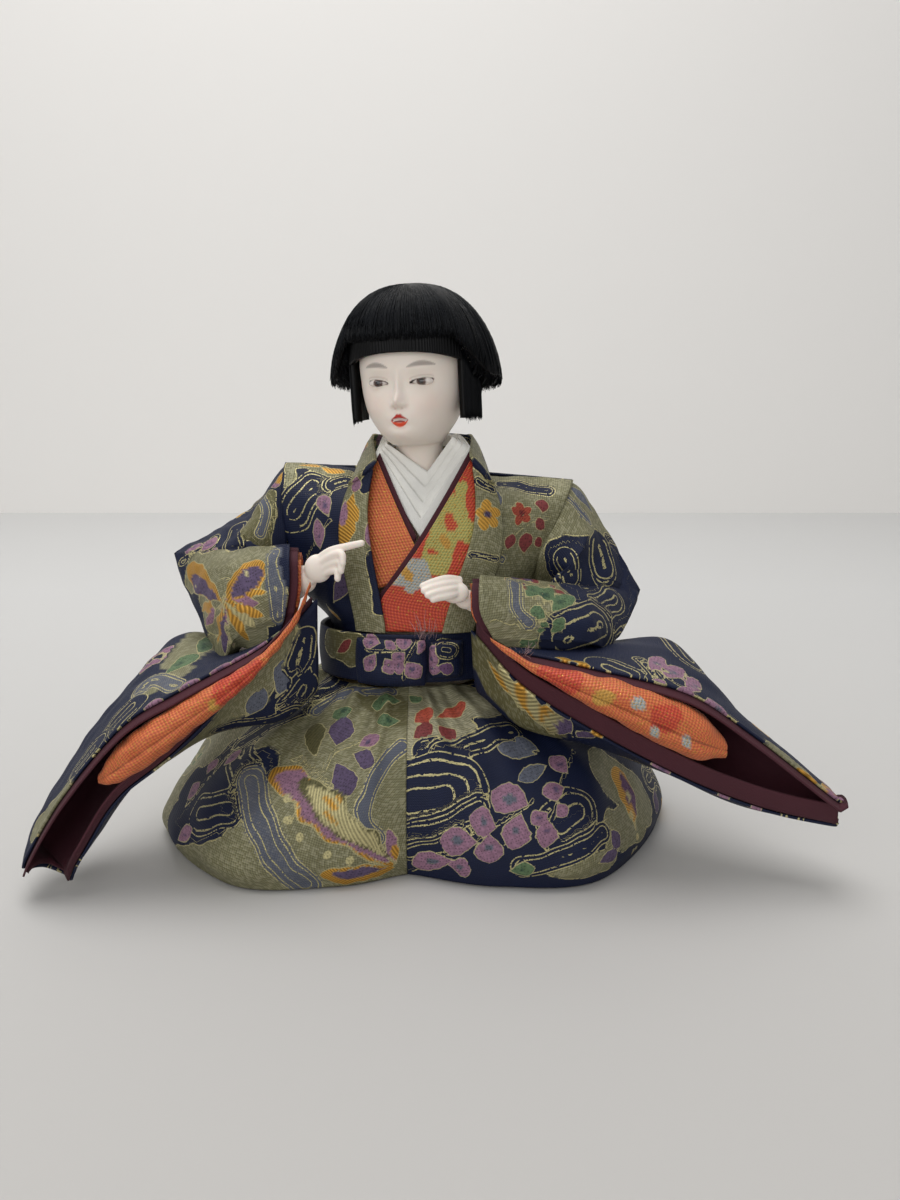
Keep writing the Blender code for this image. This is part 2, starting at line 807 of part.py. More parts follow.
def band(name, inner, outer, thick, across=2, wrap=False):
    """A flat band between two edge lines."""
    share = np.linspace(0, 1, across)[:, None, None]
    grid = np.array(inner)[None] * (1 - share) + np.array(outer)[None] * share
    return sheet(name, grid, thick, wrap)


WHITE_LAYERS = 4
WHITE_THICK = 0.4
WHITE_STEP = 0.85
WHITE_TIP = [(2.4, 128.0), (0.2, 113.5)]
WHITE_WIDTH = 4.6
WHITE_BACK_Z = 138.6
WHITE_BACK_WIDTH = 4.0
WHITE_LEFT = [(-11.6, 137.4), (-14.0, 134.9)]
WHITE_RIGHT = [(11.0, 139.4), (16.2, 136.4)]


def between(pair, share):
    return np.array(pair[0]) * (1 - share) + np.array(pair[1]) * share


def white_edge(layer, share, lower):
    """One edge of a white collar layer, as a closed line from its front point."""
    tip = between(WHITE_TIP, share) - (0.0, lower * WHITE_WIDTH)
    left = between(WHITE_LEFT, share) - (lower * 1.2, lower * 3.2)
    right = between(WHITE_RIGHT, share) + (lower * 1.2, -lower * 3.2)
    behind = round_neck(layer + lower * 0.4, WHITE_BACK_Z - lower * WHITE_BACK_WIDTH, 7)
    return on_chest([tip, left], layer, 6) + behind + on_chest([right, tip], layer, 6)[:-1]


UNDER_LAYER = WHITE_LAYERS * WHITE_STEP + 0.3
COLLAR_BOTTOM = BELT_HIGH + BELT_SLOPE * BELT_HALF_DEPTH + GAP
# Edges of the collar bands over the chest, as x and z from the neck down
WINE_LEFT = [(-13.6, 134.2), (-8.0, 122.0), (-1.0, 107.6)]
WINE_RIGHT = [(16.4, 134.8), (8.5, 121.5), (-0.8, 106.8), (-8.0, 96.6), (-14.0, 88.0)]
WINE_WIDTH = 2.4
UNDER_LEFT_OUTER = [(-16.6, 129.0), (-20.5, 118.0), (-20.5, 105.0), (-15.5, 90.0)]
UNDER_LEFT_INNER = [(-14.3, 131.8), (-9.4, 121.0), (-2.4, 106.6), (3.0, 97.0)]
UNDER_RIGHT_INNER = [
    (16.9, 132.2), (9.9, 120.6), (0.5, 105.9),
    (-6.8, 95.6), (-13.0, 86.6), (-12.4, COLLAR_BOTTOM),
]
UNDER_RIGHT_OUTER = [
    (19.6, 128.6), (20.5, 118.0), (19.0, 105.0),
    (15.5, 92.0), (12.0, 84.0), (9.6, COLLAR_BOTTOM),
]
LAPEL_LEFT_INNER = [
    (-11.5, COLLAR_BOTTOM), (-12.3, 83.0), (-16.9, 109.0),
    (-17.1, 121.0), (-14.8, 133.0),
]
LAPEL_LEFT_OUTER = [
    (-21.5, COLLAR_BOTTOM), (-22.5, 83.0), (-26.8, 104.0),
    (-26.2, 117.0), (-22.6, 126.6),
]
LAPEL_RIGHT_INNER = [
    (18.0, 133.6), (19.0, 121.0), (17.6, 109.0),
    (13.0, 95.0), (9.4, 84.0), (7.4, COLLAR_BOTTOM),
]
LAPEL_RIGHT_OUTER = [
    (23.6, 126.6), (27.0, 117.0), (27.6, 105.0),
    (25.0, 94.0), (21.0, 84.0), (17.6, COLLAR_BOTTOM),
]
LAPEL_LAYER = UNDER_LAYER + 4.4
LAPEL_BACK_TOP = 138.5
LAPEL_BACK_LOW = 130.5
LAPEL_BACK_INNER = 6.0
LAPEL_BACK_OUTER = 9.6


def build_collars():
    for layer in range(WHITE_LAYERS):
        share = layer / (WHITE_LAYERS - 1)
        upper = white_edge(layer * WHITE_STEP, share, 0.0)
        lower = white_edge(layer * WHITE_STEP, share, 1.0)
        piece = band(f"white_collar_{layer + 1}", upper, lower, WHITE_THICK, 2, True)
        paint(piece, WHITE_SILK, 0.7)
    strips = [
        ("wine_collar_left", WINE_LEFT, [(x - 1.4, z - WINE_WIDTH) for x, z in WINE_LEFT], 0.0, WINE),
        ("under_collar_left", UNDER_LEFT_INNER, UNDER_LEFT_OUTER, 1.0, GOLD_ORANGE),
        ("wine_collar_right", WINE_RIGHT, [(x + 1.4, z - WINE_WIDTH) for x, z in WINE_RIGHT], 2.0, WINE),
        ("under_collar_right", UNDER_RIGHT_INNER, UNDER_RIGHT_OUTER, 3.0, ORANGE),
    ]
    for name, inner, outer, above, colour in strips:
        layer = UNDER_LAYER + above
        piece = band(name, on_chest(inner, layer), on_chest(outer, layer), LINING, 3)
        paint(piece, colour, 0.6)
    inner = on_chest(LAPEL_LEFT_INNER, LAPEL_LAYER)
    inner += round_neck(LAPEL_BACK_INNER, LAPEL_BACK_TOP, 9)
    inner += on_chest(LAPEL_RIGHT_INNER, LAPEL_LAYER)
    outer = on_chest(LAPEL_LEFT_OUTER, LAPEL_LAYER)
    outer += round_neck(LAPEL_BACK_OUTER, LAPEL_BACK_LOW, 9)
    outer += on_chest(LAPEL_RIGHT_OUTER, LAPEL_LAYER)
    lapels = band("robe_collar", inner, outer, CLOTH, 3)
    paint(lapels, SAGE, 0.6)


# Robe: two front panels and a back, from the belt up to the shoulder line


PANEL_LAYER = UNDER_LAYER + 1.4
FRONT_ROWS = {
    -1: [
        [(-15, -23, 59), (-24.5, -19, 59), (-31.3, -6, 59)],
        [(-16, -24, 74), (-25.5, -19.5, 74), (-32, -6, 74)],
        [(-21, None, 86), (-32, -18.5, 86), (-42, -5, 86)],
        [(-22.5, None, 105), (-35, -14, 105), (-47, -6, 105)],
        [(-22.5, None, 117), (-35, -9.5, 118), (-48.4, -4, 119)],
        [(-22, -1.0, 125), (-34, 0.5, 126), (-48.6, 2, 126.5)],
        [(-21, 5.5, 127), (-34, 7, 128.2), (-48.6, 8, 129)],
    ],
    1: [
        [(9, -23, 59), (18, -19, 59), (24.6, -6, 59)],
        [(12, -24, 74), (19.5, -19.5, 74), (25.4, -6, 74)],
        [(18, None, 86), (28, -18, 86), (37, -6, 86)],
        [(22.8, None, 98), (32, -15.5, 98), (41, -8, 98)],
        [(23.2, None, 110), (35, -12, 110), (47, -6, 110)],
        [(23.6, None, 118), (37, -6, 118), (51.5, -1, 119)],
        [(23, 5.5, 124.5), (38, 7, 124), (54, 7.5, 122.8)],
    ],
}
BACK_ROWS = [
    [(-31.5, -2, 59), (-22, 14, 59), (-2.5, 20, 59), (17, 14, 59), (24.8, -2, 59)],
    [(-32.2, -2, 72), (-23, 14, 72), (-2.5, 21, 72), (17.5, 14, 72), (25.6, -2, 72)],
    [(-41, 7, 85), (-31, 18, 85), (-2, 24, 85), (26, 18, 85), (36, 6, 85)],
    [(-47, 14, 105), (-36, 21, 105), (-1, 25, 105), (34, 21, 104), (44.5, 14, 104)],
    [(-48.6, 16, 119), (-36, 20, 120), (0, 23, 120), (37, 19, 118), (51, 15, 117)],
    [(-48.6, 10.5, 128.4), (-34, 13, 127.6), (0.5, 19, 126), (35, 13, 124), (54, 10.5, 122.6)],
]


def build_robe():
    for side, name in ((-1, "left"), (1, "right")):
        rows = []
        for row in FRONT_ROWS[side]:
            rows.append([(x, chest_y(x, z, PANEL_LAYER) if y is None else y, z) for x, y, z in row])
        panel = sheet("robe_front_" + name, grid_through(rows, 2, 3), CLOTH)
        paint(panel, NAVY if side < 0 else SAGE_DARK, 0.6)
    back = sheet("robe_back", grid_through(BACK_ROWS, 2, 3), CLOTH)
    paint(back, NAVY, 0.6)


# Arm sleeves: a cloth tube from the armhole out to a sharp elbow and forward to the cuff


# Each ring goes from its top point down the inner side of the bend and up the outer side
ARM_RINGS = {
    -1: [
        [
            (-49.1, 8, 129.4), (-49.1, -0.2, 124.8), (-48.9, -4.9, 112), (-48.9, -6.2, 98),
            (-49.2, 4, 84), (-49.2, 15, 88), (-49.8, 18.5, 108), (-49.8, 15, 125),
        ],
        [
            (-62, 8, 112.5), (-61, -3, 110), (-60, -12, 106), (-57, -15, 95),
            (-57, 0, 80), (-60, 14, 84), (-63, 18, 98), (-63, 15, 109),
        ],
        [
            (-89.5, 4, 97), (-73, -7, 101), (-54, -17, 103), (-50, -18, 90),
            (-57, -24, 76), (-65, -35, 66), (-74, -22, 77), (-83, -8, 88),
        ],
        [
            (-66, -18, 102.5), (-57, -20, 100), (-51, -21, 88), (-51, -27, 78),
            (-54, -38, 72), (-57, -42, 80), (-61, -40, 90), (-65, -30, 98.5),
        ],
        [
            (-40.5, -39, 108.5), (-41, -32, 104), (-41.5, -29, 95), (-42.5, -35, 85),
            (-44, -44, 80), (-41.5, -46.5, 87), (-40, -46, 96), (-40, -44, 104),
        ],
    ],
    1: [
        [
            (54.8, 8, 122.8), (52.1, -1, 119), (47.5, -6, 110), (41.6, -8, 98),
            (38.4, 2, 84), (43, 15, 88), (51, 19, 104), (55, 15, 118),
        ],
        [
            (63, 8, 111), (60, -2, 108), (56, -11, 103), (51, -14, 92),
            (50, 0, 78), (53, 14, 81), (60, 18, 95), (63, 15, 107),
        ],
        [
            (78.6, 2, 83.7), (64, -8, 90), (47, -17, 93), (43, -18, 83),
            (50, -24, 75), (62, -31, 71.5), (69, -21, 75), (75, -8, 80),
        ],
        [
            (52, -18, 90.5), (46, -20, 89), (43, -21, 82), (43, -28, 76),
            (49, -38, 73.5), (52, -41, 77), (53, -38, 83), (53, -28, 88.5),
        ],
        [
            (19.5, -40, 98.8), (20, -34, 96), (21, -31, 88), (24, -35, 80),
            (28.5, -46, 76.5), (23.5, -48.5, 80), (19.5, -48, 88), (19, -45, 95),
        ],
    ],
}
CUFF_SHOW = 1.6
CUFF_STEP = 0.3


def arm_grid(side, row_steps, column_steps):
    sharp = (0, 5)
    return grid_through(ARM_RINGS[side], row_steps, column_steps, sharp, True, (2,))


def toward_middle(grid, distance):
    """Each row of the grid drawn towards its middle, until its cloth has moved in by a distance."""
    normal = grid_normals(grid, True)
    apart = grid.mean(axis=1, keepdims=True) - grid
    ahead = apart / np.linalg.norm(apart, axis=2, keepdims=True)
    slant = np.abs((ahead * normal).sum(axis=2, keepdims=True))
    return grid + ahead * distance / np.clip(slant, 0.5, 1.0)


def build_sleeves():
    for side, name in ((-1, "left"), (1, "right")):
        grid = arm_grid(side, 3, 2)
        sleeve = shell_object("arm_sleeve_" + name, grid, toward_middle(grid, CLOTH), True)
        paint(sleeve, NAVY if side < 0 else SAGE_DARK, 0.6)
        show = np.array([side * -1.0, -0.25, 0.0]) * CUFF_SHOW
        cuff = grid[-3:]
        for layer, colour, kind in ((1, WINE, "cuff_lining_"), (2, ORANGE, "cuff_under_")):
            deep = layer * (CLOTH + GAP) + (layer - 1) * CUFF_STEP
            outer = toward_middle(cuff, deep)
            inner = toward_middle(cuff, deep + LINING)
            outer = np.concatenate([outer, outer[-1:] + show * layer * 0.6])
            inner = np.concatenate([inner, inner[-1:] + show * layer * 0.6])
            piece = shell_object(kind + name, outer, inner, True)
            paint(piece, colour, 0.7)
        build_wing(side, name)


# Wings: the hanging part of each sleeve, a bag that opens forward along its whole length


# Each section goes from the upper lip over the back fold to the lower lip
WING_SECTIONS = {
    -1: [
        [
            (-45, -48, 77.0), (-46, -38, 71), (-46, -27, 66), (-43, -18, 63),
            (-38, -24, 58.5), (-34, -40, 56), (-33, -46.5, 82),
        ],
        [
            (-53, -52, 70.5), (-55, -42, 66), (-58, -26, 63), (-57, -12, 61),
            (-52, -18, 53), (-46, -42, 47), (-46, -53, 68),
        ],
        [
            (-74.7, -58, 61.6), (-76, -46, 64), (-80, -28, 69), (-82, -13, 72),
            (-78, -13, 62), (-72, -36, 44), (-74, -58, 46.8),
        ],
        [
            (-91.3, -62, 50.1), (-93, -50, 54), (-96, -36, 56.5), (-98, -26, 56),
            (-95, -24, 45), (-91, -42, 33), (-92.7, -62, 31.8),
        ],
        [
            (-110, -66, 30.3), (-111, -56, 33), (-113, -46, 35.5), (-115.5, -38, 35),
            (-111, -37, 24), (-106, -50, 14), (-104.5, -65, 14),
        ],
        [
            (-123, -66, 13), (-124, -61, 15.5), (-125, -55, 17), (-125, -50, 15),
            (-120, -52, 10), (-113, -57, 7), (-108, -64, 8),
        ],
        [
            (-123.5, -64, 9), (-122, -62, 8.4), (-120, -60, 7.6), (-117.5, -59.5, 6.6),
            (-115, -60, 5.8), (-112, -61, 5), (-109.5, -63, 4.8),
        ],
    ],
    1: [
        [
            (27.5, -50, 73.6), (28.4, -40, 69), (32, -28, 64), (33, -18, 62),
            (28, -25, 58.5), (19, -39, 59), (16.5, -46.5, 82),
        ],
        [
            (36, -52, 72.5), (38, -42, 72.6), (43, -26, 67), (44, -12, 64),
            (40, -17, 56), (34, -43, 48), (32, -52.5, 66),
        ],
        [
            (55, -54, 67.5), (58, -44, 69.6), (62, -27, 71.2), (65, -11, 67),
            (62, -12, 54), (55, -40, 42), (54, -56, 52),
        ],
        [
            (84, -56, 60.5), (85, -44, 64), (87, -28, 68), (88, -16, 68),
            (85, -16, 52), (80, -38, 34), (82, -58, 37),
        ],
        [
            (106, -58.5, 48.5), (107, -50, 49), (108.5, -42, 47), (110, -34, 42),
            (107, -36, 33), (104, -48, 24.5), (107, -60, 27.4),
        ],
        [
            (129, -62, 33.5), (129.5, -58, 33.5), (130, -53, 33), (130.5, -50, 30),
            (130, -52, 26.5), (129, -56, 23.5), (129, -61, 22.5),
        ],
        [
            (132.2, -61, 31.6), (132.4, -60, 30), (132.4, -59.4, 28.5), (132.4, -59.2, 27),
            (132.4, -59.4, 25.5), (132.3, -60, 24), (132.2, -61, 23),
        ],
    ],
}


def wing_grid(side, row_steps, column_steps):
    return grid_through(WING_SECTIONS[side], row_steps, column_steps)


def into_bag(grid, distance, side):
    """The grid moved to the inner side of the bag."""
    return grid - grid_normals(grid) * distance * side


def lined(grid, distance, side, lip):
    """An inner layer of the bag, whose lips stand out past the outer cloth."""
    inside = into_bag(grid, distance, side)
    first = inside[:, 0] + (0.0, -lip, -0.25 * lip)
    last = inside[:, -1] + (0.0, -lip, 0.25 * lip)
    return np.concatenate([first[:, None], inside, last[:, None]], axis=1)[1:]


# Rings of the stuffed inner sleeve: middle, half height, half depth
INNER_BAG = {
    -1: [
        [(-56, -50, 63.6), 0.7, 2.2],
        [(-64, -50, 59.2), 2.2, 5.6],
        [(-75, -49, 52.4), 5.4, 8.4],
        [(-87, -51, 44.0), 5.6, 8.6],
        [(-94, -53, 38.8), 4.0, 6.6],
        [(-97.5, -54.5, 36.2), 1.2, 3.0],
    ],
    1: [
        [(38, -50, 66.0), 0.8, 2.6],
        [(50, -48, 59.6), 4.6, 6.6],
        [(66, -46, 52.6), 8.2, 9.6],
        [(80, -46, 46.2), 9.3, 10.2],
        [(90, -48, 40.9), 8.3, 8.8],
        [(96, -50, 38.0), 3.6, 4.5],
    ],
}


def bag_ring(middle, half_height, half_depth, count):
    angles = np.arange(count) * 2 * math.pi / count
    dent = 1 - 0.16 * np.exp(-((np.sin(angles / 2) / 0.12) ** 2))
    depth = -np.cos(angles) * half_depth * dent
    rise = np.sin(angles) * half_height
    return np.stack([middle[0] + 0 * angles, middle[1] + depth, middle[2] + rise], axis=1)


def build_wing(side, name):
    grid = wing_grid(side, 2, 2)
    outer = shell_object("sleeve_bag_" + name, grid, into_bag(grid, CLOTH, side))
    paint(outer, NAVY if side < 0 else SAGE, 0.6)
    deep = CLOTH + GAP
    lining = shell_object(
        "bag_lining_" + name,
        lined(grid, deep, side, LIP),
        lined(grid, deep + LINING, side, LIP),
    )
    paint(lining, WINE, 0.75)
    rings = np.array([bag_ring(*ring_facts, 16) for ring_facts in INNER_BAG[side]])
    flat = rings.reshape(len(rings), -1)
    inner = lump("inner_sleeve_" + name, curve_through(flat, 3).reshape(-1, 16, 3))
    paint(inner, ORANGE, 0.6)


# Belt and bow


# Each loop of the bow: name, middle as x and z, half width, half height
BOW_PIECES = [
    ("bow_loop_left", (-9.6, 67.2), 12.0, 8.2),
    ("bow_loop_right", (8.8, 68.0), 5.6, 6.6),
]
BELT_POWER = 2.2
BELT_BULGE = 0.02


def belt_front(x):
    """Depth of the belt's outer face where it bulges most."""
    share = np.abs((x - BELT_X) / BELT_HALF_WIDTH)
    depth = BELT_HALF_DEPTH * (1 - share**BELT_POWER) ** (1 / BELT_POWER)
    return BELT_Y - depth * (1 + BELT_BULGE)


def build_belt():
    rows = []
    for z in (BELT_LOW, (BELT_LOW + BELT_HIGH) / 2, BELT_HIGH):
        rows.append(ring((BELT_X, BELT_Y, z), BELT_HALF_WIDTH, BELT_HALF_DEPTH, 36, BELT_POWER))
    outer = np.array(rows)
    outer[1] += (outer[1] - (BELT_X, BELT_Y, outer[1, 0, 2])) * BELT_BULGE
    outer[..., 2] -= (outer[..., 1] - BELT_Y) * BELT_SLOPE
    belt = shell_object("waist_band", outer, toward_middle(outer, BELT_THICK), True)
    paint(belt, NAVY, 0.6)
    across, upward = np.meshgrid(np.linspace(-1, 1, 9), np.linspace(-1, 1, 5))
    for name, (x, z), half_x, half_z in BOW_PIECES:
        rounding = 1 - 0.06 * across**2 * upward**2
        back = np.stack([x + half_x * across * rounding, 0 * across, z + half_z * upward * rounding], -1)
        back[..., 1] = belt_front(back[..., 0]) - GAP - 0.1
        front = back.copy()
        plump = (1 - across**6) * (1 - upward**6)
        front[..., 1] -= BOW_THICK * (0.3 + 0.7 * plump)
        piece = shell_object(name, front, back)
        paint(piece, NAVY, 0.6)


def build_all():
    build_head()
    build_hair()
    build_lap()
    build_core()
    build_arms()
    build_hands()
    build_collars()
    build_robe()
    build_sleeves()
    build_belt()


if __name__ == "__main__":
    build_all()
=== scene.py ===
"""Looks of the seated festival doll: face, combed hair, layered collars and brocade clothes.

Lengths are in millimetres and become metres when a mesh is made. Most garments follow the control
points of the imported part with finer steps. The sleeve mouths and the stuffed inner sleeves have
points of their own. Woven motifs are drawn on each garment's points as distances from short lines
and leaves on the cloth, and kept as attributes for its material.
"""

import math

import bpy
import numpy as np
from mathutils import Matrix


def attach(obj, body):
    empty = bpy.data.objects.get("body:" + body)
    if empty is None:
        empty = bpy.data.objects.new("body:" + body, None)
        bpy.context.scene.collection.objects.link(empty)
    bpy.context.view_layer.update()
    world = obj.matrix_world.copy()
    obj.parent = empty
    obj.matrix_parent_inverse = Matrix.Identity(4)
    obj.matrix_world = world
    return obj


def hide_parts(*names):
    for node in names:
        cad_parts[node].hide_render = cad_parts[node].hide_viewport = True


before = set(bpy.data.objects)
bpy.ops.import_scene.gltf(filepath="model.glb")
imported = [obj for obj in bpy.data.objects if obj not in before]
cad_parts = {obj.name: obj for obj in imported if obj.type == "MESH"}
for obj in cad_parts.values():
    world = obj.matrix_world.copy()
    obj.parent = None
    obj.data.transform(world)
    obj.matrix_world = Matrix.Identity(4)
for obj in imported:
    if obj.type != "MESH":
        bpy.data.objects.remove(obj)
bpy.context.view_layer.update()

MM = 0.001
CLOTH = 0.8
LINING = 0.6
GAP = 0.35

# Camera at the photograph's viewpoint
EYE_POINT = np.array([10.0, -349.0, 167.5])
LOOK_DOWN = math.radians(14)
FOCAL_PIXELS = 1000.0
MIDDLE_PIXEL = (450.0, 600.0)


def linear(*colour):
    share = np.array(colour, float) / 255
    return np.where(share > 0.04045, ((share + 0.055) / 1.055) ** 2.4, share / 12.92)


NAVY = linear(9, 20, 50)
SAGE = linear(124, 121, 92)
# The sage ground made lighter as a painted highlight, for the sage field where the right knee faces the
# light.
SILVER_SAGE_PAINTED_HIGHLIGHT = linear(146, 142, 116)
# OLIVE: a dark olive tone; in the patches under the belt and under the right forearm it is the sage ground
# in painted shade.
OLIVE = linear(98, 94, 62)
SLATE = linear(88, 92, 104)
MAUVE = linear(138, 102, 122)
DUSKY = linear(96, 66, 98)
PURPLE = linear(84, 70, 96)
GOLD = linear(202, 152, 66)
PALE_GOLD = linear(192, 182, 134)
GREEN = linear(86, 108, 76)
DARK_GREEN = linear(50, 74, 56)
DARK_RED = linear(118, 52, 52)
RED = linear(158, 70, 52)
ORANGE = linear(218, 106, 64)
RED_ORANGE = linear(200, 64, 42)
FLOWER_GREEN = linear(182, 178, 100)
FLOWER_BLUE = linear(172, 182, 182)
WINE = linear(74, 18, 34)
WHITE_SILK = linear(255, 253, 246)
SKIN = linear(240, 228, 216)


# Smooth curves and grids through chosen points


def curve_through(points, steps, sharp=(), wrap=False):
    """Points on a smooth line through the given ones, with corners kept at the sharp ones."""
    points = np.asarray(points, float)
    count = len(points)
    if wrap:
        padded = points[np.arange(-1, count + 2) % count]
        spans = count
    else:
        first = 2 * points[0] - points[1]
        last = 2 * points[-1] - points[-2]
        padded = np.concatenate([[first], points, [last]])
        spans = count - 1
    shape = (steps,) + (1,) * (points.ndim - 1)
    t = (np.arange(steps) / steps).reshape(shape)
    made = []
    for i in range(spans):
        before, start, end, after = padded[i], padded[i + 1], padded[i + 2], padded[i + 3]
        if i in sharp:
            before = 2 * start - end
        if (i + 1) % count in sharp:
            after = 2 * end - start
        bend = (2 * before - 5 * start + 4 * end - after) * t**2
        turn = (3 * start - before - 3 * end + after) * t**3
        made.append(0.5 * (2 * start + (end - before) * t + bend + turn))
    if not wrap:
        made.append(points[-1:])
    return np.concatenate(made)


def grid_through(rows, row_steps, column_steps, sharp_columns=(), wrap=False, sharp_rows=()):
    """A dense grid of points through a coarse one. Rows come first, then columns."""
    across = np.array([curve_through(row, column_steps, sharp_columns, wrap) for row in rows])
    return curve_through(across, row_steps, sharp_rows)


def grid_normals(grid, wrap=False):
    along = np.gradient(grid, axis=0)
    if wrap:
        across = np.roll(grid, -1, axis=1) - np.roll(grid, 1, axis=1)
    else:
        across = np.gradient(grid, axis=1)
    normal = np.cross(along, across)
    return normal / np.maximum(np.linalg.norm(normal, axis=2, keepdims=True), 1e-9)


def outward(grid, wrap=False, middle=(0.0, 12.0, 60.0)):
    """Normals of the grid on the side away from a middle, which is one point or one for each row."""
    normal = grid_normals(grid, wrap)
    return normal * np.sign(((grid - np.asarray(middle)) * normal).sum())


def toward_middle(grid, distance):
    """Each row drawn towards its middle, until its cloth has moved in by a distance."""
    normal = grid_normals(grid, True)
    apart = grid.mean(axis=1, keepdims=True) - grid
    ahead = apart / np.linalg.norm(apart, axis=2, keepdims=True)
    slant = np.abs((ahead * normal).sum(axis=2, keepdims=True))
    return grid + ahead * distance / np.clip(slant, 0.5, 1.0)


def ripple(points, size, length, seed):
    """A smooth uneven height for each point, from a few waves of about the given length."""
    draw = np.random.default_rng(seed)
    height = np.zeros(points.shape[:-1])
    for _ in range(7):
        way = draw.normal(size=3)
        way /= np.linalg.norm(way)
        wave = 2 * math.pi / (length * draw.uniform(0.6, 1.5))
        height += np.sin(points @ way * wave + draw.uniform(0, 6.28)) / 7**0.5
    return height * size


def to_pixels(points):
    """Where points fall in the photograph's frame, and how far they are from the camera."""
    apart = points - EYE_POINT
    sine, cosine = math.sin(LOOK_DOWN), math.cos(LOOK_DOWN)
    depth = apart[..., 1] * cosine - apart[..., 2] * sine
    rise = apart[..., 1] * sine + apart[..., 2] * cosine
    across = MIDDLE_PIXEL[0] + FOCAL_PIXELS * apart[..., 0] / depth
    down = MIDDLE_PIXEL[1] - FOCAL_PIXELS * rise / depth
    return np.stack([across, down], axis=-1), depth


def length_of(lines):
    return np.linalg.norm(np.diff(lines, axis=-2), axis=-1).sum(axis=-1)


def cloth_size(grid):
    """Width and length of the flat cloth that a grid stands for, in metres."""
    return float(length_of(grid).mean()) * MM, float(length_of(grid.swapaxes(0, 1)).mean()) * MM


def cloth_places(grid):
    """Distances along the cloth for each point of a grid, in millimetres."""
    across = np.linalg.norm(np.diff(grid, axis=1), axis=2)
    along = np.linalg.norm(np.diff(grid, axis=0), axis=2)
    u = np.concatenate([np.zeros((len(grid), 1)), np.cumsum(across, axis=1)], axis=1)
    u -= u[:, u.shape[1] // 2][:, None]
    v = np.concatenate([np.zeros((1, grid.shape[1])), np.cumsum(along, axis=0)], axis=0)
    return np.stack([u, v, 0 * u], axis=-1).reshape(-1, 3)


# Meshes and pieces


def quads(rows, columns, wrap=False, start=0):
    i, j = np.meshgrid(np.arange(rows - 1), np.arange(columns if wrap else columns - 1), indexing="ij")
    k = (j + 1) % columns
    corners = [i * columns + j, i * columns + k, (i + 1) * columns + k, (i + 1) * columns + j]
    return np.stack(corners, axis=-1).reshape(-1, 4) + start


def shell_faces(rows, columns, wrap=False):
    """Faces of a closed sheet between two like grids."""
    size = rows * columns
    faces = [quads(rows, columns, wrap), quads(rows, columns, wrap, size)[:, ::-1]]
    j = np.arange(columns if wrap else columns - 1)
    k = (j + 1) % columns
    top = np.stack([j, j + size, k + size, k], axis=-1)
    low = top + (rows - 1) * columns
    faces += [top, low[:, ::-1]]
    if not wrap:
        i = np.arange(rows - 1) * columns
        edge = np.stack([i, i + columns, i + columns + size, i + size], axis=-1)
        faces += [edge, (edge + columns - 1)[:, ::-1]]
    return np.concatenate(faces).tolist()


def add_piece(name, points, faces, material, nodes=(), values=None):
    """A mesh object that rides on the doll, with attribute values for its points."""
    mesh = bpy.data.meshes.new(name)
    mesh.from_pydata((np.asarray(points).reshape(-1, 3) * MM).tolist(), [], faces)
    mesh.shade_smooth()
    for key, data in (values or {}).items():
        data = np.asarray(data, np.float32)
        if data.ndim == 1:
            mesh.attributes.new(key, "FLOAT", "POINT").data.foreach_set("value", data)
        elif key == "cloth":
            mesh.attributes.new(key, "FLOAT_VECTOR", "POINT").data.foreach_set("vector", data.ravel())
        else:
            full = np.concatenate([data, np.ones((len(data), 1), np.float32)], axis=1)
            mesh.attributes.new(key, "FLOAT_COLOR", "POINT").data.foreach_set("color", full.ravel())
    mesh.materials.append(material)
    piece = bpy.data.objects.new(name, mesh)
    bpy.context.scene.collection.objects.link(piece)
    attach(piece, "root")
    if nodes:
        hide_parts(*nodes)
    return piece


def add_shell(name, outer, inner, material, slot, nodes, values=None, wrap=False):
    faces = shell_faces(*outer.shape[:2], wrap)
    points = np.concatenate([outer.reshape(-1, 3), inner.reshape(-1, 3)])
    a, b, c, _ = points[faces[len(faces) // 4]]
    middle = inner.reshape(-1, 3)[faces[len(faces) // 4][0]]
    if np.dot(np.cross(b - a, c - a), a - middle) < 0:
        faces = [face[::-1] for face in faces]
    doubled = {key: np.concatenate([data, data]) for key, data in (values or {}).items()}
    return add_piece(name, points, faces, material, nodes, doubled)


def add_lump(name, rings, material, nodes, values=None):
    """A closed soft form from rings, with a point in the middle of each end."""
    rows, columns = rings.shape[:2]
    points = np.concatenate([rings.reshape(-1, 3), [rings[0].mean(axis=0), rings[-1].mean(axis=0)]])
    faces = quads(rows, columns, True).tolist()
    low, high = rows * columns, rows * columns + 1
    for j in range(columns):
        k = (j + 1) % columns
        faces.append([low, k, j])
        faces.append([high, (rows - 1) * columns + j, (rows - 1) * columns + k])
    a, b, c, _ = points[faces[len(faces) // 3]]
    if np.dot(np.cross(b - a, c - a), a - rings[rows // 3].mean(axis=0)) < 0:
        faces = [face[::-1] for face in faces]
    ends = {key: np.concatenate([data, data[:1], data[-1:]]) for key, data in (values or {}).items()}
    return add_piece(name, points, faces, material, nodes, ends)


# Nodes for the materials


def add_node(tree, kind, inputs=None, **settings):
    made = tree.nodes.new(kind)
    for key, value in settings.items():
        setattr(made, key, value)
    for key, value in (inputs or {}).items():
        if isinstance(value, bpy.types.NodeSocket):
            tree.links.new(value, made.inputs[key])
        else:
            made.inputs[key].default_value = value
    return made


def calc(operation, first, *others):
    """The result of a Math node on a socket and on other sockets or numbers."""
    values = dict(enumerate((first, *others)))
    return add_node(first.id_data, "ShaderNodeMath", values, operation=operation).outputs[0]


def blend(share, first, second):
    """Two colours mixed by a share."""
    values = {0: share, 6: first, 7: second}
    return add_node(share.id_data, "ShaderNodeMix", values, data_type="RGBA").outputs[2]


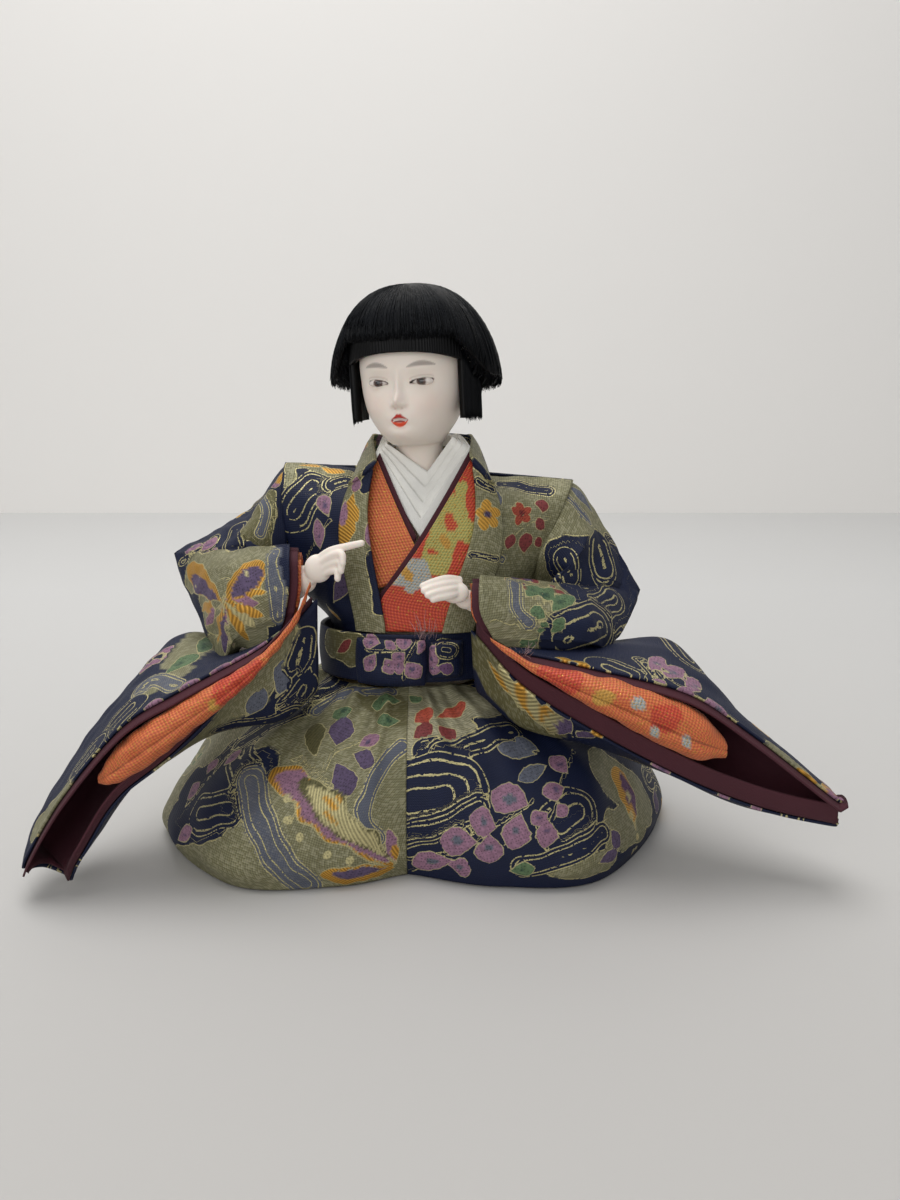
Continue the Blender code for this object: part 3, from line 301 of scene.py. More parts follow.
def scaled(colour, amount):
    """A colour made darker or lighter by a number."""
    values = {0: colour, "Scale": amount}
    return add_node(colour.id_data, "ShaderNodeVectorMath", values, operation="SCALE").outputs[0]


def rgba(colour):
    return (*[float(part) for part in colour], 1.0)


def dye(tree, shader, colour, shade):
    """One colour for a whole material, made darker and lighter by a shade."""
    base = add_node(tree, "ShaderNodeRGB")
    base.outputs[0].default_value = rgba(colour)
    tree.links.new(scaled(base.outputs[0], shade), shader.inputs["Base Color"])


def tint_by(tree, shader, shade):
    """The colours painted on the points, made darker and lighter by a shade."""
    tree.links.new(scaled(attribute(tree, "paint", "Color"), shade), shader.inputs["Base Color"])


def new_material(name, roughness, metallic=0.0, sheen=0.0):
    material = bpy.data.materials.new(name)
    material.use_nodes = True
    shader = material.node_tree.nodes["Principled BSDF"]
    shader.inputs["Roughness"].default_value = roughness
    shader.inputs["Metallic"].default_value = metallic
    shader.inputs["Sheen Weight"].default_value = sheen
    shader.inputs["Sheen Roughness"].default_value = 0.4
    return material, material.node_tree, shader


def attribute(tree, name, output="Fac"):
    return add_node(tree, "ShaderNodeAttribute", attribute_name=name).outputs[output]


def object_noise(tree, size, detail=2.0):
    """Uneven values across the object, with patches of about the given size in millimetres."""
    place = add_node(tree, "ShaderNodeTexCoord").outputs["Object"]
    values = {"Vector": place, "Scale": 1.0 / (size * MM), "Detail": detail}
    return add_node(tree, "ShaderNodeTexNoise", values).outputs[0]


def waves(vector, pitch, both=True):
    """Crossed threads, from 0 in the gaps to 1 on the threads."""
    split = add_node(vector.id_data, "ShaderNodeSeparateXYZ", {0: vector})
    turn = 2 * math.pi / pitch
    if not both:
        first = calc("SINE", calc("MULTIPLY", split.outputs[0], turn))
        return calc("MULTIPLY_ADD", first, 0.5, 0.5)
    rising = calc("ADD", split.outputs[0], split.outputs[1])
    falling = calc("SUBTRACT", split.outputs[0], split.outputs[1])
    first = calc("SINE", calc("MULTIPLY", rising, turn / 2**0.5))
    second = calc("SINE", calc("MULTIPLY", falling, turn / 2**0.5))
    return calc("MULTIPLY_ADD", calc("MULTIPLY", first, second), 0.5, 0.5)


def bump_into(tree, shader, height, depth):
    values = {"Height": height, "Distance": depth * MM, "Strength": 0.8}
    bump = add_node(tree, "ShaderNodeBump", values)
    tree.links.new(bump.outputs[0], shader.inputs["Normal"])


THREAD_PITCH = 1.15
OUTLINE_HALF = 0.2
LINE_SHARE = 0.09


def brocade_ground(tree, cloth, weave, shine):
    """The twill ground, with painted glints and painted dark specks where the cloth shines: painted
    highlights and painted shade for the glitter of its metal threads.
    """
    uneven = object_noise(tree, 7.0, 3.0)
    contrast = calc("MULTIPLY_ADD", shine, 0.55, 0.35)
    shade = calc("MULTIPLY_ADD", calc("SUBTRACT", weave, 0.45), contrast, 0.9)
    shade = calc("MULTIPLY", shade, calc("MULTIPLY_ADD", uneven, 0.5, 0.78))
    colour = scaled(attribute(tree, "ground", "Color"), shade)
    glitter_cells = add_node(tree, "ShaderNodeTexVoronoi", {"Vector": cloth, "Scale": 1.25, "Randomness": 0.2})
    grain_and_glitter = add_node(tree, "ShaderNodeSeparateXYZ", {0: glitter_cells.outputs["Color"]}).outputs[0]
    # Painted highlight and painted shade: pale glints and dark specks scattered over the shiny ground, for
    # the glitter of its metal threads.
    glint = calc("MULTIPLY", calc("LESS_THAN", grain_and_glitter, 0.3), shine)
    painted_dark_speck = calc("MULTIPLY", calc("GREATER_THAN", grain_and_glitter, 0.72), shine)
    colour = blend(calc("MULTIPLY", glint, 0.3), colour, rgba(linear(206, 200, 170)))
    return blend(calc("MULTIPLY", painted_dark_speck, 0.25), colour, rgba(linear(112, 104, 62)))


def brocade_lines(tree, stitches, wobble):
    """Where pale threads lie: along flowing lines and around fields of colour."""
    phase = calc("FRACT", attribute(tree, "flow"))
    from_line = calc("ABSOLUTE", calc("SUBTRACT", phase, 0.5))
    line = calc("LESS_THAN", calc("ADD", from_line, wobble), LINE_SHARE)
    line = calc("MULTIPLY", line, calc("GREATER_THAN", attribute(tree, "lines"), 0.5))
    rim = calc("ABSOLUTE", attribute(tree, "edge"))
    rim = calc("LESS_THAN", calc("ADD", rim, wobble), OUTLINE_HALF)
    return calc("MULTIPLY", calc("MAXIMUM", line, rim), calc("GREATER_THAN", stitches, 0.34))


def brocade_floss(tree, cloth, stitches):
    """How light the raised motifs are: knots of silk, or slanting satin stitches in gold, whose light and
    dark stripes are the stitches' own texture and also a painted highlight and painted shade along each
    stitch.
    """
    values = {"Vector": cloth, "Scale": 0.95, "Randomness": 0.3}
    cells = add_node(tree, "ShaderNodeTexVoronoi", values).outputs["Distance"]
    floss = calc("MULTIPLY_ADD", calc("GREATER_THAN", cells, 0.26), 0.5, 0.52)
    floss = calc("MULTIPLY", floss, calc("MULTIPLY_ADD", stitches, 0.7, 0.68))
    # Stripes over the gold: the satin stitches' texture, with a painted highlight and painted shade along
    # each stitch.
    slant = add_node(tree, "ShaderNodeMapping", {0: cloth, "Rotation": (0, 0, 0.7)})
    satin = calc("MULTIPLY_ADD", waves(slant.outputs[0], 1.05, False), 0.75, 0.45)
    return calc("MULTIPLY_ADD", calc("SUBTRACT", satin, floss), attribute(tree, "gold"), floss)


def brocade_material(name):
    """Figured cloth: a twill ground, pale thread lines and outlines, and raised stitched motifs."""
    material, tree, shader = new_material(name, 0.55)
    shader.inputs["Specular IOR Level"].default_value = 0.3
    cloth = attribute(tree, "cloth", "Vector")
    weave = waves(cloth, THREAD_PITCH)
    shine = attribute(tree, "shine")
    stitches = object_noise(tree, 0.9, 0.0)
    wobble = calc("MULTIPLY", calc("SUBTRACT", stitches, 0.5), 0.16)
    line = brocade_lines(tree, stitches, wobble)
    floss = brocade_floss(tree, cloth, stitches)
    pale = scaled(attribute(tree, "thread", "Color"), calc("MULTIPLY_ADD", weave, 0.5, 0.65))
    top = calc("ADD", attribute(tree, "top"), wobble)
    fill = calc("GREATER_THAN", top, 0.0)
    border = calc("LESS_THAN", calc("ABSOLUTE", top), 0.17)
    colour = blend(line, brocade_ground(tree, cloth, weave, shine), pale)
    colour = blend(fill, colour, scaled(attribute(tree, "motif", "Color"), floss))
    colour = blend(calc("MULTIPLY", border, 0.75), colour, pale)
    tree.links.new(colour, shader.inputs["Base Color"])

    metal = calc("MAXIMUM", calc("MULTIPLY", shine, 0.55), calc("MULTIPLY", line, 0.6))
    of_motif = calc("MULTIPLY", attribute(tree, "gold"), 0.75)
    metal = calc("MULTIPLY_ADD", fill, calc("SUBTRACT", of_motif, metal), metal)
    tree.links.new(metal, shader.inputs["Metallic"])
    tree.links.new(calc("MULTIPLY_ADD", metal, -0.25, 0.62), shader.inputs["Roughness"])

    raised = calc("MULTIPLY", fill, calc("MULTIPLY_ADD", floss, 0.9, 0.5))
    height = calc("MULTIPLY_ADD", line, 0.5, calc("MULTIPLY", weave, 0.55))
    bump_into(tree, shader, calc("MAXIMUM", height, raised), 0.22)
    return material


def fleck_material(name):
    """Under-robe brocade: a basket of coloured silk with bright metal flecks."""
    material, tree, shader = new_material(name, 0.5, 0.0, 0.1)
    cloth = attribute(tree, "cloth", "Vector")
    weave = waves(cloth, 1.5)
    cells = add_node(tree, "ShaderNodeTexVoronoi", {"Vector": cloth, "Scale": 1.5, "Randomness": 0.5})
    pick = add_node(tree, "ShaderNodeSeparateXYZ", {0: cells.outputs["Color"]}).outputs[0]
    ground = attribute(tree, "ground", "Color")
    colour = scaled(ground, calc("MULTIPLY_ADD", weave, 0.55, 0.6))
    share = attribute(tree, "shine")
    knots = calc("MULTIPLY", calc("GREATER_THAN", weave, 0.66), share)
    colour = blend(calc("MULTIPLY", knots, 0.55), colour, rgba(GOLD))
    near = calc("LESS_THAN", cells.outputs["Distance"], 0.34)
    fleck = calc("MULTIPLY", near, calc("LESS_THAN", pick, calc("MULTIPLY", share, 0.6)))
    bright = calc("MULTIPLY_ADD", pick, 0.8, 0.7)
    colour = blend(fleck, colour, scaled(attribute(tree, "thread", "Color"), bright))
    tree.links.new(colour, shader.inputs["Base Color"])
    tree.links.new(calc("MULTIPLY_ADD", fleck, 0.55, 0.12), shader.inputs["Metallic"])
    tree.links.new(calc("MULTIPLY_ADD", fleck, -0.2, 0.52), shader.inputs["Roughness"])
    height = calc("MULTIPLY_ADD", fleck, 0.5, weave)
    bump_into(tree, shader, height, 0.2)
    return material


def plain_cloth(name, colour, pitch, roughness, contrast=0.25, ribs=False):
    """Plain woven cloth with visible threads and slight fading."""
    material, tree, shader = new_material(name, roughness, 0.0, 0.04)
    weave = waves(attribute(tree, "cloth", "Vector"), pitch, not ribs)
    uneven = object_noise(tree, 9.0, 4.0)
    shade = calc("MULTIPLY_ADD", weave, contrast, 1.0 - contrast)
    shade = calc("MULTIPLY", shade, calc("MULTIPLY_ADD", uneven, 0.3, 0.86))
    dye(tree, shader, colour, shade)
    bump_into(tree, shader, weave, 0.12)
    return material


def porcelain_material():
    """Matt white coat of the face and hands, with its painted features as an attribute."""
    material, tree, shader = new_material("face_coat", 0.48)
    uneven = object_noise(tree, 4.0, 5.0)
    shade = calc("MULTIPLY_ADD", uneven, 0.05, 0.975)
    tint_by(tree, shader, shade)
    shader.inputs["Subsurface Weight"].default_value = 0.12
    shader.inputs["Subsurface Scale"].default_value = 0.0012
    shader.inputs["Specular IOR Level"].default_value = 0.35
    bump_into(tree, shader, object_noise(tree, 0.5, 3.0), 0.012)
    return material


def eye_material():
    material, tree, shader = new_material("glass_eye", 0.06)
    uneven = object_noise(tree, 0.4, 2.0)
    shade = calc("MULTIPLY_ADD", uneven, 0.4, 0.8)
    tint_by(tree, shader, shade)
    shader.inputs["Coat Weight"].default_value = 1.0
    shader.inputs["Coat Roughness"].default_value = 0.03
    return material


def hair_material(name, colour, roughness):
    material, tree, shader = new_material(name, roughness)
    tint = attribute(tree, "tint")
    shade = calc("MULTIPLY_ADD", tint, 1.3, 0.45)
    dye(tree, shader, colour, shade)
    shader.inputs["Specular IOR Level"].default_value = 0.18
    bump_into(tree, shader, object_noise(tree, 0.35, 2.0), 0.02)
    return material


def inner_material(name, colour, size, roughness, metallic=0.0):
    """A plain grained finish for the pieces inside."""
    material, tree, shader = new_material(name, roughness, metallic)
    place = add_node(tree, "ShaderNodeTexCoord").outputs["Object"]
    stretch = add_node(tree, "ShaderNodeMapping", {0: place, "Scale": (1.0, 6.0, 1.0)})
    values = {"Vector": stretch.outputs[0], "Scale": 1.0 / (size * MM), "Detail": 5.0}
    grain_and_glitter = add_node(tree, "ShaderNodeTexNoise", values).outputs[0]
    dye(tree, shader, colour, calc("MULTIPLY_ADD", grain_and_glitter, 0.7, 0.65))
    bump_into(tree, shader, grain_and_glitter, 0.15)
    return material


# Motifs: each is a distance on the cloth, positive inside

FAR = 50.0
SWAY = 0.5
SWAY_LENGTH = 11.0
LOBES = 9.0


def segment_distance(points, a, b):
    along = b - a
    share = np.clip((points - a) @ along / max(float(along @ along), 1e-9), 0, 1)
    return np.linalg.norm(points - (a + share[:, None] * along), axis=1)


def line_distance(points, line):
    return np.min([segment_distance(points, a, b) for a, b in zip(line[:-1], line[1:])], axis=0)


def leaf_distance(points, a, b, half, blunt=0.7):
    along = b - a
    long = np.linalg.norm(along)
    share = (points - a) @ along / max(long, 0.01) ** 2
    aside = np.linalg.norm(points - (a + share[:, None] * along), axis=1)
    inner = np.clip(share, 0, 1)
    profile = half * np.sin(math.pi * inner**1.35) ** blunt * (1 + 0.05 * np.cos(inner * LOBES * math.pi))
    past = long * np.maximum(-share, share - 1)
    return np.where((share > 0) & (share < 1), profile - aside, -np.hypot(aside, np.maximum(past, 0)))


class Weaver:
    """Draws motifs on one garment, whose points are in millimetres."""

    def __init__(self, grid, normals, ground, shine=0.0):
        self.places = cloth_places(grid)
        real = grid.reshape(-1, 3)
        self.points = real + np.stack([ripple(real, SWAY, SWAY_LENGTH, seed) for seed in (1, 2, 3)], axis=1)
        self.normals = normals.reshape(-1, 3)
        self.pixels, self.depth = to_pixels(real)
        self.front = ((EYE_POINT - real) * self.normals).sum(axis=1) > 0
        count = len(self.points)
        self.ground = np.tile(ground, (count, 1))
        self.motif = np.tile(ground, (count, 1))
        self.thread = np.tile(PALE_GOLD, (count, 1))
        self.edge = np.full(count, -FAR)
        self.top = np.full(count, -FAR)
        self.flow = np.zeros(count)
        self.lines = np.zeros(count)
        self.shine = np.full(count, shine)
        self.gold = np.zeros(count)

    def at(self, spot):
        """A point of the cloth, from its pixel in the photograph or from a place in space."""
        if len(spot) == 3:
            return self.points[((self.points - spot) ** 2).sum(axis=1).argmin()]
        apart = np.linalg.norm(self.pixels - spot, axis=1) + 1e6 * ~self.front
        near = apart < apart.min() + 3
        return self.points[np.where(near, self.depth, 1e9).argmin()]

    def draw(self, motifs):
        """The motifs of a table in turn. A row names one of the methods below, then its values."""
        for kind, *details in motifs:
            getattr(self, kind)(*details)

    def ground_in(self, inside, colour, shine, rim=True):
        here = inside > 0
        self.ground[here] = colour
        self.shine[here] = shine
        self.lines[here] = 0
        self.top[here] = -FAR
        nearer = ~here & (np.abs(inside) < np.abs(self.edge))
        if rim:
            self.edge[here] = inside[here]
            self.edge[nearer] = inside[nearer]
        else:
            self.edge[here] = FAR

    def field(self, colour, shine, *parts, rim=True):
        """A field of ground colour, as a union of round-ended bars: two spots and a radius."""
        reach = [radius - segment_distance(self.points, self.at(a), self.at(b)) for a, b, radius in parts]
        inside = np.max(reach, axis=0) + ripple(self.points, 0.35, 7.0, 5)
        self.ground_in(inside, colour, shine, rim)

    def patch(self, colour, shine, *parts):
        """A field without an outline."""
        self.field(colour, shine, *parts, rim=False)

    def loops(self, a, b, radius, pitch=3.2, colour=NAVY):
        """Flowing water: a round-ended bar with pale lines one inside the other."""
        apart = segment_distance(self.points, self.at(a), self.at(b))
        self.ground_in(radius - apart, colour, 0.0)
        here = radius - apart > 0
        near = apart < radius + 2
        way = self.at(b) - self.at(a)
        past = (self.points - self.at(a)) @ way / np.linalg.norm(way)
        self.flow[near] = (radius - apart[near]) / pitch
        self.lines[here & (past > -0.35 * radius)] = 1

    def streams(self, spots, half, pitch=2.2, colour=NAVY, shine=0.0, rim=True):
        """Parallel lines along a path."""
        line = curve_through([self.at(spot) for spot in spots], 4)
        apart = line_distance(self.points, line)
        self.ground_in(half - apart, colour, shine, rim)
        self.flow[apart < half + 2] = (half - apart[apart < half + 2]) / pitch
        self.lines[half - apart > 0] = 1

    def stem(self, spots):
        """One thread along a path."""
        line = curve_through([self.at(spot) for spot in spots], 4)
        best = np.full(len(self.points), FAR)
        signed = np.zeros(len(self.points))
        for a, b in zip(line[:-1], line[1:]):
            apart = segment_distance(self.points, a, b)
            side = np.sign((np.cross(b - a, self.points - a) * self.normals).sum(axis=1))
            nearer = apart < best
            best[nearer] = apart[nearer]
            signed[nearer] = (apart * side)[nearer]
        near = best < 1.1
        self.flow[near] = signed[near] / 2.6 + 0.5
        self.lines[near] = 1

    def motif_in(self, inside, colour, gold):
        here = inside > 0
        nearer = ~here & (inside > self.top) & (inside > -2)
        self.motif[here | nearer] = colour
        self.gold[here | nearer] = gold
        self.top[here | nearer] = inside[here | nearer]

    def leaf(self, a, b, half, colour, gold=0.0, blunt=0.7):
        inside = leaf_distance(self.points, self.at(a), self.at(b), half, blunt)
        self.motif_in(inside, colour, gold)

    def leaves(self, colour, *parts, heart=None, gold=0.0):
        """Leaves of one colour, each two spots and a half width, with another colour in the middle."""
        for a, b, half in parts:
            self.leaf(a, b, half, colour, gold)
            if heart is not None:
                start, end = self.at(a), self.at(b)
                self.leaf(start + (end - start) * 0.3, start + (end - start) * 0.62, half * 0.32, heart)

    def hearted(self, colour, heart, *parts):
        self.leaves(colour, *parts, heart=heart)

    def gilded(self, colour, gold, *parts):
        self.leaves(colour, *parts, gold=gold)

    def dots(self, colour, radius, *spots, gold=0.3):
        for spot in spots:
            inside = radius - np.linalg.norm(self.points - self.at(spot), axis=1)
            self.motif_in(inside, colour, gold)

    def flower(self, spot, size, colour, heart=GOLD, gold=0.3):
        """Five petals around a middle."""
        middle = self.at(spot)
        normal = self.normals[((self.points - middle) ** 2).sum(axis=1).argmin()]
        first = np.cross(normal, (0.3, 0.2, 0.9))
        first /= np.linalg.norm(first)
        second = np.cross(normal, first)
        for step in range(5):
            angle = step * 2 * math.pi / 5
            tip = middle + (first * math.cos(angle) + second * math.sin(angle)) * size
            self.leaf(middle, self.at(tip), size * 0.36, colour, gold, 0.5)
        self.dots(heart, size * 0.24, middle, gold=0.8)

    def spray(self, start, end, colour, heart, pairs=4, size=4.0):
        """A stem with pairs of leaves, between two places in space."""
        start, end = self.at(start), self.at(end)
        normal = self.normals[((self.points - (start + end) / 2) ** 2).sum(axis=1).argmin()]
        ahead = end - start
        ahead /= np.linalg.norm(ahead)
        aside = np.cross(normal, ahead)
        self.stem([start, (start + end) / 2 + aside * 1.5, end])
        for step in range(pairs):
            foot = start + (end - start) * (step + 0.6) / pairs
            for side in (-1, 1):
                tip = foot + (ahead * 0.75 + aside * side) * size
                base = foot + (ahead * 0.75 + aside * side) * size * 0.15
                self.leaves(colour, (self.at(base), self.at(tip), size * 0.32), heart=heart)
        self.leaf(end, self.at(end + ahead * size * 1.2), size * 0.36, colour)

    def scatter(self, seed, count, keep=lambda points, front: ~front):
        """The same motifs again over the parts that the photograph doesn't show."""
        draw = np.random.default_rng(seed)
        free = np.flatnonzero(keep(self.points, self.front))
        for turn in range(count):
            if len(free) == 0:
                return
            index = draw.choice(free)
            spot, normal = self.points[index], self.normals[index]
            way = np.cross(normal, draw.normal(size=3))
            way /= max(np.linalg.norm(way), 1e-6)
            aside = np.cross(normal, way)
            kind = turn % 6
            if kind == 0:
                self.loops(spot, spot + way * draw.uniform(6, 16), draw.uniform(6, 9))
            elif kind == 1:
                colour = MAUVE if draw.random() < 0.6 else DARK_RED
                self.spray(spot, spot + way * 20, colour, PURPLE, 4, 4.6)
            elif kind == 2:
                self.field(SAGE, 0.6, (spot, spot + way * 14, 8.0), (spot, spot + aside * 9, 6.0))
                self.spray(spot, spot + way * 14, GREEN, DARK_GREEN, 3, 4.2)
            elif kind == 3:
                self.streams([spot, spot + way * 10 + aside * 3, spot + way * 22], 4.4)
            elif kind == 4:
                self.flower(spot, 5.5, GOLD if draw.random() < 0.5 else PURPLE, PALE_GOLD)
            else:
                for side in (-1, 1):
                    tip = spot + way * 7 + aside * side * 7
                    self.leaf(spot, self.at(tip), 3.4, GOLD, 0.6)
                    self.leaf(spot, self.at(spot + (tip - spot) * 0.85), 2.4, MAUVE)
            away = np.linalg.norm(self.points[free] - spot, axis=1)
            free = free[away > 9]

    def values(self):
        keys = ("ground", "motif", "thread", "edge", "top", "flow", "lines", "shine", "gold")
        return {"cloth": self.places, **{key: getattr(self, key) for key in keys}}

    def relief(self, grid, normals, height=0.16):
        """The grid with its motifs standing a little proud."""
        rise = height * np.clip(self.top / 0.6, 0, 1).reshape(grid.shape[:2])
        return grid + normals * rise[..., None]


BROCADE = brocade_material("robe_brocade")
FLECKED = fleck_material("under_robe_brocade")
WINE_CLOTH = plain_cloth("wine_lining", WINE, 0.55, 0.75, 0.35)
WHITE_CLOTH = plain_cloth("white_collar_silk", WHITE_SILK, 0.4, 0.7, 0.08, True)


def lay_sheet(grid):
    """Works out how large a piece of cloth is when flat; the result is not kept."""
    cloth_size(grid)


def add_garment(node, grid, normals, weaver, held, below, wrap=False, slot="robe_brocade", thick=CLOTH):
    """A closed sheet of brocade with its motifs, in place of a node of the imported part."""
    outer = weaver.relief(grid, normals)
    inner = toward_middle(grid, thick) if wrap else grid - normals * thick
    piece = add_shell(node + "_brocade", outer, inner, BROCADE, slot, [node], weaver.values(), wrap)
    lay_sheet(grid)


# Head: its pieces are modelled upright and then turned

HEAD_X = -1.7
HEAD_Y = -1.0
HEAD_Z = 158.0
HEAD_TURN = -15.0
HEAD_TILT = -3.0
EYE_SPREAD = 7.3
EYE_Z = -0.4
MOUTH_Z = -12.2
# Each level of the head: height, half width, depth to the front, depth to the back
HEAD_LEVELS = [
    (25.5, 4.0, 4.0, 4.5), (23.0, 10.0, 10.5, 11.0), (18.5, 14.6, 15.5, 16.0), (12.5, 17.2, 18.6, 18.5),
    (6.0, 18.0, 19.8, 19.0), (0.0, 17.8, 19.6, 18.0), (-5.0, 17.2, 19.9, 15.5), (-10.0, 15.8, 20.3, 12.0),
    (-14.5, 13.4, 19.9, 9.6), (-18.5, 10.4, 18.2, 8.6), (-20.8, 8.8, 14.4, 8.2), (-22.0, 8.1, 9.6, 8.0),
    (-27.0, 7.9, 8.0, 7.8), (-33.5, 8.3, 8.3, 8.2),
]


def head_points(local):
    turn = math.radians(HEAD_TURN)
    tilt = math.radians(HEAD_TILT)
    local = np.asarray(local, float)
    x = local[..., 0] * math.cos(tilt) + local[..., 2] * math.sin(tilt)
    z = local[..., 2] * math.cos(tilt) - local[..., 0] * math.sin(tilt)
    y = local[..., 1]
    across = HEAD_X + x * math.cos(turn) - y * math.sin(turn)
    depth = HEAD_Y + x * math.sin(turn) + y * math.cos(turn)
    return np.stack([across, depth, HEAD_Z + z], axis=-1)


def bump(points, centre, size):
    distance = ((points[..., (0, 2)] - np.asarray(centre)) / np.asarray(size)) ** 2
    return np.exp(-distance.sum(axis=-1)) * (points[..., 1] < 0)


def smooth_step(value, low, high):
    share = np.clip((value - low) / (high - low), 0, 1)
    return share**2 * (3 - 2 * share)


EYE_HALF_WIDTH = 3.7
EYE_HALF_HEIGHT = 0.87
EYE_RADII = (3.7, 1.35, 2.1)
EYE_Y = -16.35
IRIS_RADIUS = 1.6
PUPIL_RADIUS = 0.8
MOUTH_HALF_WIDTH = 3.1


def eye_opening(x, z, side):
    """How far inside the almond of an eye's opening a point is, from 1 in the middle to 0."""
    across = (x - side * EYE_SPREAD) / EYE_HALF_WIDTH
    tilt = 0.35 * across * side
    up = z - EYE_Z - tilt + 0.1
    upper = EYE_HALF_HEIGHT * np.sqrt(np.clip(1 - across**2, 0, 1))
    lower = 0.72 * EYE_HALF_HEIGHT * np.clip(1 - across**2, 0, 1)
    room = np.where(up > 0, upper - up, lower + up)
    return np.where(np.abs(across) < 1, room, -FAR)


def mouth_shape(x):
    """Heights of the mouth's lines across the face: bow, opening's top and bottom, lower lip."""
    share = np.clip(np.abs(x) / MOUTH_HALF_WIDTH, 0, 1)
    bow = 1.9 * (1 - share**1.6) + 0.35 * np.sin(np.clip(np.abs(x) / 1.3, 0, 1) * math.pi) - 0.25
    top = 0.75 * (1 - share**2) - 0.15
    bottom = -0.75 * (1 - share**2) - 0.1
    lip = -2.35 * (1 - share**2.2)
    return bow, top, bottom, lip


# Forms of the face: how far each stands out, its place across and up, and its half sizes
MIDDLE_FORMS = {
    "nose_tip": (3.3, (0, -6.3), (1.7, 2.1)),
    "nose_bridge": (1.6, (0, -2.0), (1.3, 4.6)),
    "chin": (1.3, (0, -16.6), (4.2, 2.3)),
    "mouth_mound": (0.8, (0, -11.5), (3.6, 1.9)),
    "chin_hollow": (-0.6, (0, -14.3), (3.0, 0.8)),
    "lip_groove": (-0.35, (0, -9.3), (0.6, 0.9)),
}
SIDE_FORMS = {
    "nose_wing": (0.95, (1.9, -7.4), (0.95, 0.95)),
    "nostril": (-0.6, (1.1, -8.4), (0.5, 0.4)),
    "eye_socket": (-1.1, (EYE_SPREAD, EYE_Z - 0.2), (4.6, 2.6)),
    "cheek": (0.7, (8.8, -7.5), (4.0, 4.0)),
    "brow_bone": (0.5, (EYE_SPREAD, EYE_Z + 4.4), (5.0, 1.4)),
}


def face_relief(points):
    """How far each point of the face stands out from the plain head form."""
    x, z = points[..., 0], points[..., 2]
    out = sum(far * bump(points, place, size) for far, place, size in MIDDLE_FORMS.values())
    front = points[..., 1] < 0
    for side in (-1, 1):
        for far, (across, up), size in SIDE_FORMS.values():
            out += far * bump(points, (side * across, up), size)
        room = eye_opening(x, z, side)
        lid = np.exp(-(((room + 0.28) / 0.28) ** 2)) * (z > EYE_Z - 0.5)
        out += 0.3 * lid * front
        out -= 1.5 * smooth_step(room, 0.0, 0.35) * front
    bow, top, bottom, lip = mouth_shape(x)
    up = z - MOUTH_Z
    inside = front & (np.abs(x) < MOUTH_HALF_WIDTH)
    out += 0.45 * inside * smooth_step(np.minimum(bow - up, up - top), -0.1, 0.5)
    out += 0.55 * inside * smooth_step(np.minimum(bottom - up, up - lip), -0.1, 0.6)
    out -= 1.3 * inside * smooth_step(np.minimum(top - up, up - bottom), -0.05, 0.3)
    relief = np.zeros_like(points)
    relief[..., 1] = -out
    return relief


def face_paint(points):
    """Colour of each point of the head."""
    x, z = points[..., 0], points[..., 2]
    front = points[..., 1] < 0
    colour = np.tile(SKIN, x.shape + (1,))

    def lay(share, tone):
        share = (share * front)[..., None]
        colour[:] = colour * (1 - share) + tone * share

    for side in (-1, 1):
        lay(0.16 * bump(points, (side * 9.0, -7.0), (5.0, 4.0)), linear(232, 176, 160))
        across = (x - side * EYE_SPREAD) / EYE_HALF_WIDTH
        room = eye_opening(x, z, side)
        upper = z > EYE_Z - 0.2 + 0.35 * across * side
        lay(smooth_step(room, -0.45, -0.1) * upper, linear(58, 42, 38))
        lay(0.5 * smooth_step(room, -0.3, 0.0) * ~upper, linear(170, 146, 136))
        lay(smooth_step(room, 0.15, 0.35), linear(54, 42, 40))
        lay(0.35 * np.exp(-(((room + 1.1) / 0.28) ** 2)) * upper, linear(168, 140, 130))
        arch = (x - side * (EYE_SPREAD + 0.2)) / 4.5
        middle = EYE_Z + 5.7 - 0.9 * arch**2 + 0.25 * arch * side
        thick = 0.8 * np.clip(1 - arch**2, 0, 1) ** 0.8
        brow = smooth_step(thick - np.abs(z - middle), -0.25, 0.3) * (np.abs(arch) < 1)
        hairs = 0.75 + 0.25 * np.sin(x * 9 + z * 5)
        lay(0.8 * brow * hairs, linear(104, 92, 86))
        nostril = np.exp(-(((x - side * 1.15) / 0.5) ** 2) - (((z + 8.7) / 0.28) ** 2))
        lay(0.5 * nostril, linear(150, 96, 84))
    bow, top, bottom, lip = mouth_shape(x)
    up = z - MOUTH_Z
    inside = np.abs(x) < MOUTH_HALF_WIDTH
    lay(inside * smooth_step(np.minimum(bow - up, up - top), -0.15, 0.15), linear(190, 44, 34))
    lay(inside * smooth_step(np.minimum(bottom - up, up - lip), -0.15, 0.15), linear(226, 78, 48))
    lay(inside * smooth_step(np.minimum(top - up, up - bottom), -0.1, 0.15), linear(140, 30, 26))
    teeth = np.minimum(top - up, up - (top - 0.95)) * (np.abs(x) < 2.4)
    lay(smooth_step(teeth, 0.0, 0.2), linear(240, 236, 228))
    return colour.reshape(-1, 3)


def build_head():
    levels = curve_through(HEAD_LEVELS, 15)
    turn = np.arange(250) * 2 * math.pi / 250
    angles = turn + 0.5 * np.sin(turn)
    sine, cosine = np.sin(angles), np.cos(angles)
    rings = []
    for z, half, front, back in levels:
        depth = np.where(cosine < 0, front, back)
        power = 2 / (2.2 if z > -20 else 2.0)
        x = np.sign(sine) * np.abs(sine) ** power * half
        y = np.sign(cosine) * np.abs(cosine) ** power * depth
        rings.append(np.stack([x, y, np.full(len(angles), z)], axis=1))
    grid = np.array(rings)
    paint = face_paint(grid)
    grid = head_points(grid + face_relief(grid))
    skin = porcelain_material()
    add_lump("face_and_neck", grid, skin, ["head"], {"paint": paint})
    eye = eye_material()
    for side, name in ((-1, "left"), (1, "right")):
        build_eye(side, name, eye)
    return skin


